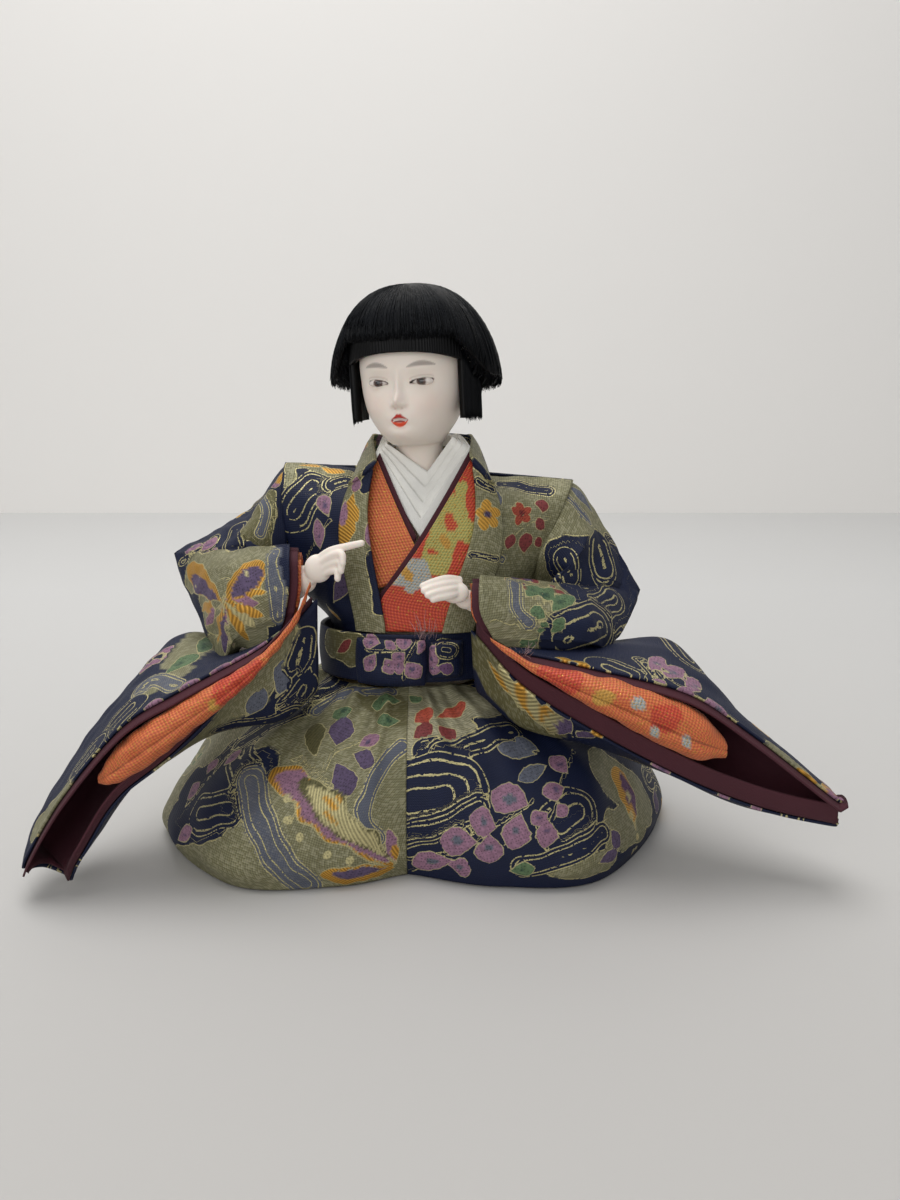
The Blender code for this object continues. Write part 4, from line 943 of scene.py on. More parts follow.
def build_eye(side, name, material):
    """A dark glass eye behind the lids, with its iris towards the camera."""
    x, z, deep = np.moveaxis(ball_rings((0, 0, 0), EYE_RADII, 24, 36), -1, 0)
    local = np.stack([side * EYE_SPREAD + x, EYE_Y - deep, EYE_Z + z], axis=-1)
    apart = np.hypot(x - 0.1, z - 0.1)
    white = linear(232, 222, 214)
    iris = linear(74, 44, 34)
    pupil = linear(10, 8, 8)
    share = smooth_step(IRIS_RADIUS - apart, -0.15, 0.15)[..., None]
    colour = white * (1 - share) + iris * share
    share = smooth_step(PUPIL_RADIUS - apart, -0.15, 0.15)[..., None]
    colour = colour * (1 - share) + pupil * share
    values = {"paint": colour.reshape(-1, 3)}
    add_lump("glass_eye_" + name, head_points(local), material, ["eye_" + name], values)


# Hair

HAIR_TOP = 31.0
FRINGE_Z = 14.2
FRINGE_LOW = 9.0
LOCK_BOTTOM = -13.0
LOCK_RADIUS = 21.8
HAIR_SIDE = 29.5
HAIR_BACK = 26.0
HAIR_BACK_Z = -7.0
HAIR_SIDE_Z = 1.5


def on_head(angle, radius, z):
    return np.stack([radius * np.sin(angle), -radius * np.cos(angle), z + 0 * angle], axis=-1)


def hair_hem(angle):
    """Height and radius of the lower edge of the outer hair at an angle from the front."""
    turn = np.abs(angle)
    heights = [FRINGE_Z, FRINGE_Z, FRINGE_Z - 5, HAIR_SIDE_Z, HAIR_SIDE_Z - 4, HAIR_BACK_Z]
    height = np.interp(turn, np.radians([0, 48, 60, 75, 110, 180]), heights)
    radii = [22.0, 22.6, 25.5, HAIR_SIDE, HAIR_SIDE - 1.0, HAIR_BACK]
    radius = np.interp(turn, np.radians([0, 35, 60, 85, 120, 180]), radii)
    return height, radius


def crown_path(angle, share):
    """Points on the outer hair, for shares from the crown to the lower edge."""
    height, radius = hair_hem(angle)
    bend = np.cos(np.clip(share, 0, 1) * math.pi / 2) ** 1.15
    z = height + (HAIR_TOP - height) * bend
    out = radius * np.sin(np.clip(share, 0, 1) * math.pi / 2) ** 0.85
    below = np.maximum(share - 1, 0)
    z = z - below * 22
    out = out - below * 3
    return angle, out, z


def strands(name, paths, radii, tints, material, nodes=()):
    """Many closed three-sided threads along given paths, as one piece."""
    count, steps = paths.shape[:2]
    ahead = np.gradient(paths, axis=1)
    ahead /= np.maximum(np.linalg.norm(ahead, axis=2, keepdims=True), 1e-9)
    side = np.cross(ahead, (0.3, 0.2, 0.93))
    side /= np.maximum(np.linalg.norm(side, axis=2, keepdims=True), 1e-9)
    up = np.cross(side, ahead)
    angles = np.arange(3) * 2 * math.pi / 3
    taper = np.ones(steps)
    taper[-1] = 0.35
    size = (radii[:, None] * taper[None])[..., None, None]
    ring = side[:, :, None] * np.cos(angles)[:, None] + up[:, :, None] * np.sin(angles)[:, None]
    points = paths[:, :, None] + ring * size
    one = quads(steps, 3, True)
    caps = np.array([[0, 2, 1], [3 * steps - 3, 3 * steps - 2, 3 * steps - 1]])
    starts = np.arange(count)[:, None, None] * steps * 3
    faces = (one[None] + starts).reshape(-1, 4).tolist() + (caps[None] + starts).reshape(-1, 3).tolist()
    values = {"tint": np.repeat(tints, steps * 3)}
    return add_piece(name, points, faces, material, nodes, values)


def add_hair_base(name, rows, thin, node, tint, wrap=False):
    """A closed sheet of dark silk under the single strands."""
    tints = {"tint": np.full(rows.shape[0] * rows.shape[1], tint)}
    grids = head_points(rows), head_points(thin)
    return add_shell(name, *grids, UNDER_SILK, "hair_silk", [node], tints, wrap)


OUTER_SILK = hair_material("hair_silk_outer", linear(11, 13, 17), 0.42)
UNDER_SILK = hair_material("hair_silk_under", linear(5, 5, 7), 0.38)
OUTER_STRANDS = 3000
LOCK_STRANDS = 260


def build_crown(draw):
    """The outer bob: a base and single combed strands over it."""
    angle = (np.arange(180) * 2 * math.pi / 180)[None, :] - math.pi
    share = np.linspace(0.02, 1.0, 60)[:, None]
    rows = on_head(*[part + 0 * share * angle for part in crown_path(angle, share)])
    comb = 0.16 * np.sin(angle * 90 + 5 * np.sin(angle * 7)) * share
    rows = rows * (1 + comb[..., None] * np.array([1, 1, 0]) / 25)
    thin = rows * np.array([0.93, 0.93, 1.0]) - np.array([0, 0, 1.2]) * (1 - share[..., None])
    cover = add_hair_base("hair_crown_base", rows, thin, "hair_crown", 0.3, True)

    count = OUTER_STRANDS
    angle = draw.uniform(-math.pi, math.pi, count)[:, None]
    first = draw.uniform(0.02, 0.5, count)[:, None]
    last = 1.0 + draw.uniform(-0.015, 0.085, count)[:, None]
    along = first + (last - first) * np.linspace(0, 1, 9)[None]
    lean = draw.normal(0, 0.018, count)[:, None] * along**2
    lift = draw.uniform(-0.1, 0.42, count)[:, None] + draw.normal(0, 0.25, count)[:, None] * (along > 0.97)
    deep = draw.uniform(0, 1, count)[:, None] ** 2 * (np.abs(angle) > math.radians(62))
    lift = lift - 6.5 * deep * (along / along.max()) ** 3
    turned, out, z = crown_path(angle + lean, along)
    paths = head_points(on_head(turned, out + lift, z + 0.1))
    strands("hair_combed_outer", paths, draw.uniform(0.13, 0.24, count), draw.random(count), OUTER_SILK)


def build_fringe():
    """The darker band under the fringe."""
    angle = np.radians(np.linspace(-60, 60, 220))
    low = FRINGE_LOW - 3.2 * (np.abs(angle) / math.radians(60)) ** 2.2
    hem = hair_hem(angle)[0]
    rows = []
    for share in np.linspace(0, 1, 16):
        z = (hem + 1.0) + (low - hem - 1.0) * share
        wave = 0.1 * np.sin(angle * 150 + 3 * np.sin(angle * 11))
        rows.append(on_head(angle, 21.6 + 0.8 * np.abs(angle) + wave, z))
    rows = np.array(rows)
    thin = rows * np.array([0.92, 0.92, 1.0])
    add_hair_base("hair_fringe_band", rows, thin, "hair_fringe_under", 0.12)


def build_locks(draw):
    """The two side locks: a base and single strands over each."""
    for side, name in ((-1, "left"), (1, "right")):
        span = side * np.radians(np.linspace(64, 100, 60))
        start = hair_hem(span)[0] + 1.5
        rows = []
        for share in np.linspace(0, 1, 24):
            wave = 0.12 * np.sin(span * 160)
            rows.append(on_head(span, LOCK_RADIUS + wave, start + (LOCK_BOTTOM - start) * share))
        rows = np.array(rows)
        thin = rows * np.array([0.875, 0.875, 1.0])
        lock = "hair_lock_" + name
        add_hair_base(lock + "_base", rows, thin, lock, 0.2)
        count = LOCK_STRANDS
        span = side * np.radians(draw.uniform(63, 101, count))[:, None]
        bottom = LOCK_BOTTOM + draw.normal(-0.3, 0.5, count)[:, None]
        start = hair_hem(span)[0] + 1.0
        z = start + (bottom - start) * np.linspace(0, 1, 6)[None]
        out = LOCK_RADIUS + draw.uniform(0.0, 0.35, count)[:, None] + 0 * z
        paths = head_points(on_head(span + 0 * z, out, z))
        tints = draw.random(count) * 0.6
        strands(lock + "_strands", paths, draw.uniform(0.12, 0.2, count), tints, OUTER_SILK)


def build_hair():
    draw = np.random.default_rng(11)
    build_crown(draw)
    build_fringe()
    build_locks(draw)


# Hands

FINGER_RADIUS = 1.35
FINGERTIP_SLIMMER = 0.22
SKIN_VOXEL = 0.3
HAND_FINGERS = {
    -1: [
        [(-34, -40.5, 101.5), (-28, -42.5, 106.5), (-22, -44.5, 108.6), (-17.2, -46, 110)],
        [(-34, -41.5, 100), (-28, -43.5, 105), (-23.6, -46, 106.6), (-23, -47.5, 104)],
        [(-34, -41.5, 98.5), (-28, -43.5, 102.6), (-23.9, -46.2, 104), (-23.6, -47.5, 101.6)],
        [(-34, -41, 97), (-28.6, -43, 100.2), (-25, -45.8, 101.2), (-24.8, -47, 99)],
        [(-35, -40, 99), (-29, -40, 104), (-25.5, -41.5, 106)],
    ],
    1: [
        [(13.2, -41.4, 97.2), (9, -45.5, 98.6), (4.6, -48.5, 98.2), (1.6, -50, 97.4)],
        [(13.2, -42.8, 96.6), (9, -47, 97.3), (4.6, -49.9, 96.9), (2, -51.2, 96.2)],
        [(13.2, -43.8, 95.4), (9.5, -48, 95.7), (5.4, -50.8, 95.4), (3.2, -52, 94.9)],
        [(13.2, -44, 94), (10, -48.4, 94), (6.4, -51, 93.9), (4.8, -52, 93.6)],
        [(13.6, -40.4, 92.4), (11, -42.5, 92), (7.8, -45, 92.6)],
    ],
}
# Each palm as round forms: middle and radii
HAND_PALMS = {
    -1: [
        ((-40.0, -38.6, 94.6), (4.8, 2.9, 4.6)), ((-36.6, -39.4, 97.0), (4.4, 2.7, 4.6)),
        ((-31.5, -41.3, 101.0), (4.4, 2.9, 4.6)),
    ],
    1: [
        ((18.6, -39.6, 89.6), (4.4, 2.6, 3.4)), ((15.4, -40.2, 90.7), (4.0, 2.4, 3.2)),
        ((11.6, -44.0, 93.9), (4.4, 3.1, 3.5)),
    ],
}


def rod_rings(line, radii, sides=16):
    ahead = np.gradient(line, axis=0)
    ahead /= np.linalg.norm(ahead, axis=1, keepdims=True)
    side = np.cross(ahead, (0.13, 0.31, 0.94))
    side /= np.linalg.norm(side, axis=1, keepdims=True)
    up = np.cross(side, ahead)
    angles = (np.arange(sides) * 2 * math.pi / sides)[None, :, None]
    round_off = side[:, None] * np.cos(angles) + up[:, None] * np.sin(angles)
    return line[:, None] + np.asarray(radii)[:, None, None] * round_off


def ball_rings(centre, radii, rows=16, columns=24):
    polar = np.linspace(0.02, math.pi - 0.02, rows)[:, None]
    around = np.arange(columns)[None] * 2 * math.pi / columns
    x = np.sin(polar) * np.cos(around)
    y = np.sin(polar) * np.sin(around)
    z = np.cos(polar) + 0 * around
    return np.asarray(centre) + np.stack([x, y, z], axis=-1) * np.asarray(radii)


def ring_mesh(rings, start):
    rows, columns = rings.shape[:2]
    faces = quads(rows, columns, True, start).tolist()
    faces.append([start + j for j in range(columns)][::-1])
    faces.append([start + (rows - 1) * columns + j for j in range(columns)])
    return rings.reshape(-1, 3), faces


def build_hands(skin):
    for side, name in ((-1, "left"), (1, "right")):
        points, faces, start = [], [], 0
        forms = [ball_rings(centre, radii) for centre, radii in HAND_PALMS[side]]
        for finger in HAND_FINGERS[side]:
            line = curve_through(finger, 6)
            share = np.linspace(0, 1, len(line))
            radii = FINGER_RADIUS * (1.0 - FINGERTIP_SLIMMER * share**2)
            forms.append(rod_rings(line, radii))
            forms.append(ball_rings(line[-1], (radii[-1],) * 3, 10, 16))
        for form in forms:
            made, linked = ring_mesh(form, start)
            points.append(made)
            faces += linked
            start += len(made)
        piece = add_piece(f"hand_{name}_skin", np.concatenate(points), faces, skin, ["hand_" + name])
        whole = piece.modifiers.new("one_skin", "REMESH")
        whole.mode = "VOXEL"
        whole.voxel_size = SKIN_VOXEL * MM
        soft = piece.modifiers.new("soft", "SMOOTH")
        soft.iterations = 4
        graph = bpy.context.evaluated_depsgraph_get()
        mesh = bpy.data.meshes.new_from_object(piece.evaluated_get(graph))
        piece.modifiers.clear()
        piece.data = mesh
        mesh.shade_smooth()
        paint = np.tile(np.append(SKIN, 1.0), (len(mesh.vertices), 1)).astype(np.float32)
        if "paint" not in mesh.attributes:
            mesh.attributes.new("paint", "FLOAT_COLOR", "POINT")
        mesh.attributes["paint"].data.foreach_set("color", paint.ravel())


# Collars

LAYER = 1.15
NECK_X = 0.2
NECK_Y = 1.0
NECK_HALF = 11.8
BELT_SLOPE = 0.1
BELT_HIGH = 73.5
CHEST_PROFILE = [
    (59, -22.6), (75, -22.4), (88, -21.8), (97, -20.8), (108, -18.6),
    (120, -14.2), (128, -11.4), (134, -9.6), (140, -7.6),
]


def chest_y(x, z, layer):
    """Depth of a layer of cloth over the chest."""
    heights = [point[0] for point in CHEST_PROFILE]
    depths = [point[1] for point in CHEST_PROFILE]
    return np.interp(z, heights, depths) + 0.010 * x * x - LAYER * layer


def on_chest(points, layer, steps=3):
    return [(x, chest_y(x, z, layer), z) for x, z in curve_through(points, steps)]


def round_neck(layer, z, count):
    angles = np.linspace(math.pi, 0, count + 2)[1:-1]
    half = NECK_HALF + LAYER * layer
    return [(NECK_X + half * math.cos(a), NECK_Y + half * math.sin(a), z) for a in angles]


WHITE_LAYERS = 4
WHITE_STEP = 0.85
WHITE_TIP = [(2.4, 128.0), (0.2, 113.5)]
WHITE_WIDTH = 6.2
WHITE_LEFT = [(-11.6, 137.4), (-14.0, 134.9)]
WHITE_RIGHT = [(11.0, 139.4), (16.2, 136.4)]
UNDER_LAYER = WHITE_LAYERS * WHITE_STEP + 0.3
COLLAR_BOTTOM = BELT_HIGH + BELT_SLOPE * 28.4 + GAP
WINE_LEFT = [(-13.6, 134.2), (-8.0, 122.0), (-1.0, 107.6)]
WINE_RIGHT = [(16.4, 134.8), (8.5, 121.5), (-0.8, 106.8), (-8.0, 96.6), (-14.0, 88.0)]
WINE_WIDTH = 2.4
UNDER_LEFT_OUTER = [(-16.6, 129.0), (-20.5, 118.0), (-20.5, 105.0), (-15.5, 90.0)]
UNDER_LEFT_INNER = [(-14.3, 131.8), (-9.4, 121.0), (-2.4, 106.6), (3.0, 97.0)]
UNDER_RIGHT_INNER = [
    (16.9, 132.2), (9.9, 120.6), (0.5, 105.9), (-6.8, 95.6), (-13.0, 86.6), (-12.4, COLLAR_BOTTOM),
]
UNDER_RIGHT_OUTER = [
    (19.6, 128.6), (20.5, 118.0), (19.0, 105.0), (15.5, 92.0), (12.0, 84.0), (9.6, COLLAR_BOTTOM),
]
LAPEL_LEFT_INNER = [
    (-11.5, COLLAR_BOTTOM), (-12.3, 83.0), (-16.9, 109.0), (-17.1, 121.0), (-14.8, 133.0),
]
LAPEL_LEFT_OUTER = [
    (-21.5, COLLAR_BOTTOM), (-22.5, 83.0), (-26.8, 104.0), (-26.2, 117.0), (-22.6, 126.6),
]
LAPEL_RIGHT_INNER = [
    (17.0, 134.6), (18.6, 121.0), (17.6, 109.0), (13.0, 95.0), (9.4, 84.0), (7.4, COLLAR_BOTTOM),
]
LAPEL_RIGHT_OUTER = [
    (23.6, 126.6), (27.0, 117.0), (27.6, 105.0), (25.0, 94.0), (21.0, 84.0), (17.6, COLLAR_BOTTOM),
]
LAPEL_LAYER = UNDER_LAYER + 4.4
LAPEL_CROWN = 0.5


def between(pair, share):
    return np.array(pair[0]) * (1 - share) + np.array(pair[1]) * share


def white_edge(layer, share, lower):
    """One edge of a white collar layer, as a closed line from its front point."""
    tip = between(WHITE_TIP, share) - (0.0, lower * WHITE_WIDTH)
    left = between(WHITE_LEFT, share) - (lower * 2.4, lower * 2.8)
    right = between(WHITE_RIGHT, share) + (lower * 2.8, -lower * 2.4)
    behind = round_neck(layer + lower * 0.4, 138.6 - lower * 4.0, 7)
    line = on_chest([tip, left], layer, 6) + behind + on_chest([right, tip], layer, 6)[:-1]
    return curve_through(line, 5, (0,), True)


def band_grid(inner, outer, across):
    """Cloth between two edge lines."""
    share = np.linspace(0, 1, across)[:, None, None]
    return np.array(inner)[None] * (1 - share) + np.array(outer)[None] * share


UNDER_RIGHT_MOTIFS = [
    ("patch", FLOWER_GREEN, 0.8, ((458, 508), (440, 560), 5.0), ((470, 530), (446, 530), 4.0),
     ((464, 486), (462, 500), 2.0)),
    ("patch", FLOWER_BLUE, 0.8, ((392, 578), (420, 572), 3.6), ((410, 590), (424, 580), 2.4)),
    ("patch", RED_ORANGE, 0.8, ((452, 520), (456, 526), 1.4), ((432, 552), (436, 556), 1.0)),
    ("patch", GOLD, 0.8, ((404, 572), (410, 580), 1.2), ((446, 540), (450, 546), 1.2)),
]
LAPEL_MOTIFS = [
    ("field", NAVY, 0.0, ((372, 465), (362, 485), 2.5)),
    ("field", NAVY, 0.0, ((372, 560), (378, 610), 3.0)),
    ("gilded", GOLD, 0.9, ((350, 492), (335, 545), 4.2), ((345, 500), (356, 520), 2.4)),
    ("leaves", MAUVE, ((332, 500), (326, 525), 2.0), ((355, 478), (350, 492), 2.0),
     ((368, 520), (372, 545), 1.8)),
    ("field", NAVY, 0.0, ((478, 462), (488, 476), 2.2)),
    ("flower", (490, 512), 5.6, GOLD, PURPLE, 0.7),
    ("streams", ((474, 552), (500, 560)), 1.3, 1.4),
    ("streams", ((480, 480), (500, 490)), 1.3, 1.4),
]


def build_collars():
    for layer in range(WHITE_LAYERS):
        share = layer / (WHITE_LAYERS - 1)
        upper = white_edge(layer * WHITE_STEP, share, 0.0)
        lower = white_edge(layer * WHITE_STEP, share, 1.0)
        grid = band_grid(upper, lower, 8)
        normals = outward(grid, True, (0, 2, 120))
        values = {"cloth": cloth_places(grid)[:, (1, 0, 2)]}
        name = f"white_collar_{layer + 1}"
        piece = add_shell(
            name + "_silk", grid, grid - normals * 0.8, WHITE_CLOTH, "white_silk", [name], values, True
        )
    for name, line, shift, above in (
        ("wine_collar_left", WINE_LEFT, -1.4, 0.0), ("wine_collar_right", WINE_RIGHT, 1.4, 2.0),
    ):
        layer = UNDER_LAYER + above
        inner = on_chest(line, layer, 16)
        outer = on_chest([(x + shift, z - WINE_WIDTH) for x, z in line], layer, 16)
        grid = band_grid(inner, outer, 8)
        normals = outward(grid)
        values = {"cloth": cloth_places(grid)}
        piece = add_shell(
            name + "_piping", grid, grid - normals * LINING, WINE_CLOTH, "wine_cloth", [name], values
        )
    build_under_collars()
    build_lapels()


def build_under_collars():
    for name, inner, outer, above, colour in (
        ("under_collar_left", UNDER_LEFT_INNER, UNDER_LEFT_OUTER, 1.0, ORANGE),
        ("under_collar_right", UNDER_RIGHT_INNER, UNDER_RIGHT_OUTER, 3.0, RED_ORANGE),
    ):
        layer = UNDER_LAYER + above
        grid = band_grid(on_chest(inner, layer, 14), on_chest(outer, layer, 14), 34)
        normals = outward(grid)
        weaver = Weaver(grid, normals, colour, 0.75)
        weaver.thread[:] = GOLD
        if name.endswith("right"):
            weaver.shine[:] = 0.3
            weaver.draw(UNDER_RIGHT_MOTIFS)
        piece = add_shell(
            name + "_panel", grid, grid - normals * LINING, FLECKED, "orange_brocade", [name],
            weaver.values(),
        )
        lay_sheet(grid)


def build_lapels():
    inner = on_chest(LAPEL_LEFT_INNER, LAPEL_LAYER) + round_neck(6.0, 138.5, 9)
    inner += on_chest(LAPEL_RIGHT_INNER, LAPEL_LAYER)
    outer = on_chest(LAPEL_LEFT_OUTER, LAPEL_LAYER) + round_neck(9.6, 130.5, 9)
    outer += on_chest(LAPEL_RIGHT_OUTER, LAPEL_LAYER)
    grid = band_grid(curve_through(inner, 6), curve_through(outer, 6), 18)
    normals = outward(grid)
    crown = LAPEL_CROWN * np.sin(math.pi * np.linspace(0, 1, len(grid)))
    grid = grid + normals * crown[:, None, None]
    weaver = Weaver(grid, normals, SAGE, 0.6)
    weaver.draw(LAPEL_MOTIFS)
    weaver.scatter(21, 9)
    add_garment("robe_collar", grid, normals, weaver, "folded", "under_collar_right_panel")


# Robe fronts and back

PANEL_LAYER = UNDER_LAYER + 1.4
FRONT_ROWS = {
    -1: [
        [(-15, -23, 59), (-24.5, -19, 59), (-31.3, -6, 59)],
        [(-16, -24, 74), (-25.5, -19.5, 74), (-32, -6, 74)],
        [(-21, None, 86), (-32, -18.5, 86), (-42, -5, 86)],
        [(-22.5, None, 105), (-35, -14, 105), (-47, -6, 105)],
        [(-22.5, None, 117), (-35, -9.5, 118), (-48.4, -4, 119)],
        [(-22, -1.0, 125), (-34, 0.5, 126), (-48.6, 2, 126.5)],
        [(-21, 5.5, 127), (-34, 7, 128.2), (-48.6, 8, 129)],
    ],
    1: [
        [(9, -23, 59), (18, -19, 59), (24.6, -6, 59)],
        [(12, -24, 74), (19.5, -19.5, 74), (25.4, -6, 74)],
        [(18, None, 86), (28, -18, 86), (37, -6, 86)],
        [(22.8, None, 98), (32, -15.5, 98), (41, -8, 98)],
        [(23.2, None, 110), (35, -12, 110), (47, -6, 110)],
        [(23.6, None, 118), (37, -6, 118), (51.5, -1, 119)],
        [(23, 5.5, 124.5), (38, 7, 124), (54, 7.5, 122.8)],
    ],
}
BACK_ROWS = [
    [(-31.5, -2, 59), (-22, 14, 59), (-2.5, 20, 59), (17, 14, 59), (24.8, -2, 59)],
    [(-32.2, -2, 72), (-23, 14, 72), (-2.5, 21, 72), (17.5, 14, 72), (25.6, -2, 72)],
    [(-41, 7, 85), (-31, 18, 85), (-2, 24, 85), (26, 18, 85), (36, 6, 85)],
    [(-47, 14, 105), (-36, 21, 105), (-1, 25, 105), (34, 21, 104), (44.5, 14, 104)],
    [(-48.6, 16, 119), (-36, 20, 120), (0, 23, 120), (37, 19, 118), (51, 15, 117)],
    [(-48.6, 10.5, 128.4), (-34, 13, 127.6), (0.5, 19, 126), (35, 13, 124), (54, 10.5, 122.6)],
]


BACK_FIELDS = [((-30, 20, 118), (-10, 24, 95), 11), ((20, 20, 90), (38, 20, 108), 9)]
FRONT_MOTIFS = {
    -1: [
        ("field", SAGE, 0.6, ((292, 462), (345, 472), 2.8), ((290, 466), (288, 490), 2.0)),
        ("gilded", GOLD, 0.9, ((298, 458), (322, 464), 1.8), ((322, 464), (345, 470), 1.8)),
        ("loops", (292, 512), (312, 486), 7.6, 3.0),
        ("loops", (334, 480), (344, 478), 3.6, 2.2),
        ("hearted", MAUVE, PURPLE, ((318, 548), (314, 520), 2.8), ((326, 515), (322, 492), 2.4)),
        ("stem", [(306, 560), (316, 535), (330, 518)]),
        ("leaves", PURPLE, ((330, 604), (345, 570), 2.8)),
        ("gilded", GOLD, 0.8, ((324, 606), (338, 622), 1.6)),
    ],
    1: [
        ("loops", (505, 482), (548, 488), 3.4, 2.2),
        ("leaves", SLATE, ((490, 482), (502, 506), 2.6)),
        ("flower", (524, 513), 4.6, RED, DARK_RED),
        ("leaves", DARK_RED, ((545, 512), (540, 496), 2.4), ((548, 532), (538, 518), 2.4),
         ((528, 554), (530, 534), 2.8), ((510, 552), (516, 534), 2.6), ((546, 552), (538, 540), 2.0)),
        ("stem", [(500, 558), (522, 530), (552, 520)]),
        ("streams", [(468, 558), (488, 556), (505, 560)], 1.4, 2.0, SLATE),
    ],
}


def build_robe():
    for side, name, ground in ((-1, "left", NAVY), (1, "right", SAGE)):
        rows = []
        for row in FRONT_ROWS[side]:
            rows.append([(x, chest_y(x, z, PANEL_LAYER) if y is None else y, z) for x, y, z in row])
        grid = grid_through(rows, 12, 18)
        normals = outward(grid)
        fade = np.sin(np.linspace(0, math.pi, grid.shape[1]))[None, :]
        grid = grid + normals * (ripple(grid, 0.35, 14.0, 30 + side) * fade)[..., None]
        weaver = Weaver(grid, normals, ground, 0.0 if side < 0 else 0.6)
        weaver.draw(FRONT_MOTIFS[side])
        add_garment("robe_front_" + name, grid, normals, weaver, "draped", "torso_core")
    grid = grid_through(BACK_ROWS, 14, 26)
    normals = outward(grid, middle=(0, -5, 90))
    weaver = Weaver(grid, normals, NAVY, 0.0)
    weaver.field(SAGE, 0.6, *BACK_FIELDS)
    weaver.scatter(3, 20)
    add_garment("robe_back", grid, normals, weaver, "draped", "torso_core")


# Arm sleeves

ARM_RINGS = {
    -1: [
        [(-49.1, 8, 129.4), (-49.1, -0.2, 124.8), (-48.9, -4.9, 112), (-48.9, -6.2, 98),
         (-49.2, 4, 84), (-49.2, 15, 88), (-49.8, 18.5, 108), (-49.8, 15, 125)],
        [(-62, 8, 112.5), (-61, -3, 110), (-60, -12, 106), (-57, -15, 95),
         (-57, 0, 80), (-60, 14, 84), (-63, 18, 98), (-63, 15, 109)],
        [(-89.5, 4, 97), (-73, -7, 101), (-54, -17, 103), (-50, -18, 90),
         (-57, -24, 76), (-65, -35, 66), (-74, -22, 77), (-83, -8, 88)],
        [(-66, -18, 102.5), (-57, -20, 100), (-51, -21, 88), (-51, -27, 78),
         (-54, -38, 72), (-57, -42, 80), (-61, -40, 90), (-65, -30, 98.5)],
        [(-40.5, -39, 108.5), (-41, -32, 104), (-41.5, -29, 95), (-42.5, -35, 85),
         (-44, -44, 80), (-41.5, -46.5, 87), (-40, -46, 96), (-40, -44, 104)],
    ],
    1: [
        [(54.8, 8, 122.8), (52.1, -1, 119), (47.5, -6, 110), (41.6, -8, 98),
         (38.4, 2, 84), (43, 15, 88), (51, 19, 104), (55, 15, 118)],
        [(63, 8, 111), (60, -2, 108), (56, -11, 103), (51, -14, 92),
         (50, 0, 78), (53, 14, 81), (60, 18, 95), (63, 15, 107)],
        [(78.6, 2, 83.7), (64, -8, 90), (47, -17, 93), (43, -18, 83),
         (50, -24, 75), (62, -31, 71.5), (69, -21, 75), (75, -8, 80)],
        [(52, -18, 90.5), (46, -20, 89), (43, -21, 82), (43, -28, 76),
         (49, -38, 73.5), (52, -41, 77), (53, -38, 83), (53, -28, 88.5)],
        [(19.5, -40, 98.8), (20, -34, 96), (21, -31, 88), (24, -35, 80),
         (28.5, -46, 76.5), (23.5, -48.5, 80), (19.5, -48, 88), (19, -45, 95)],
    ],
}
CUFF_SHOW = {1: 2.8, 2: 3.9}
CUFF_STEP = 0.3
ARM_STEPS = 24
ARMHOLE_TUCK = 2.2


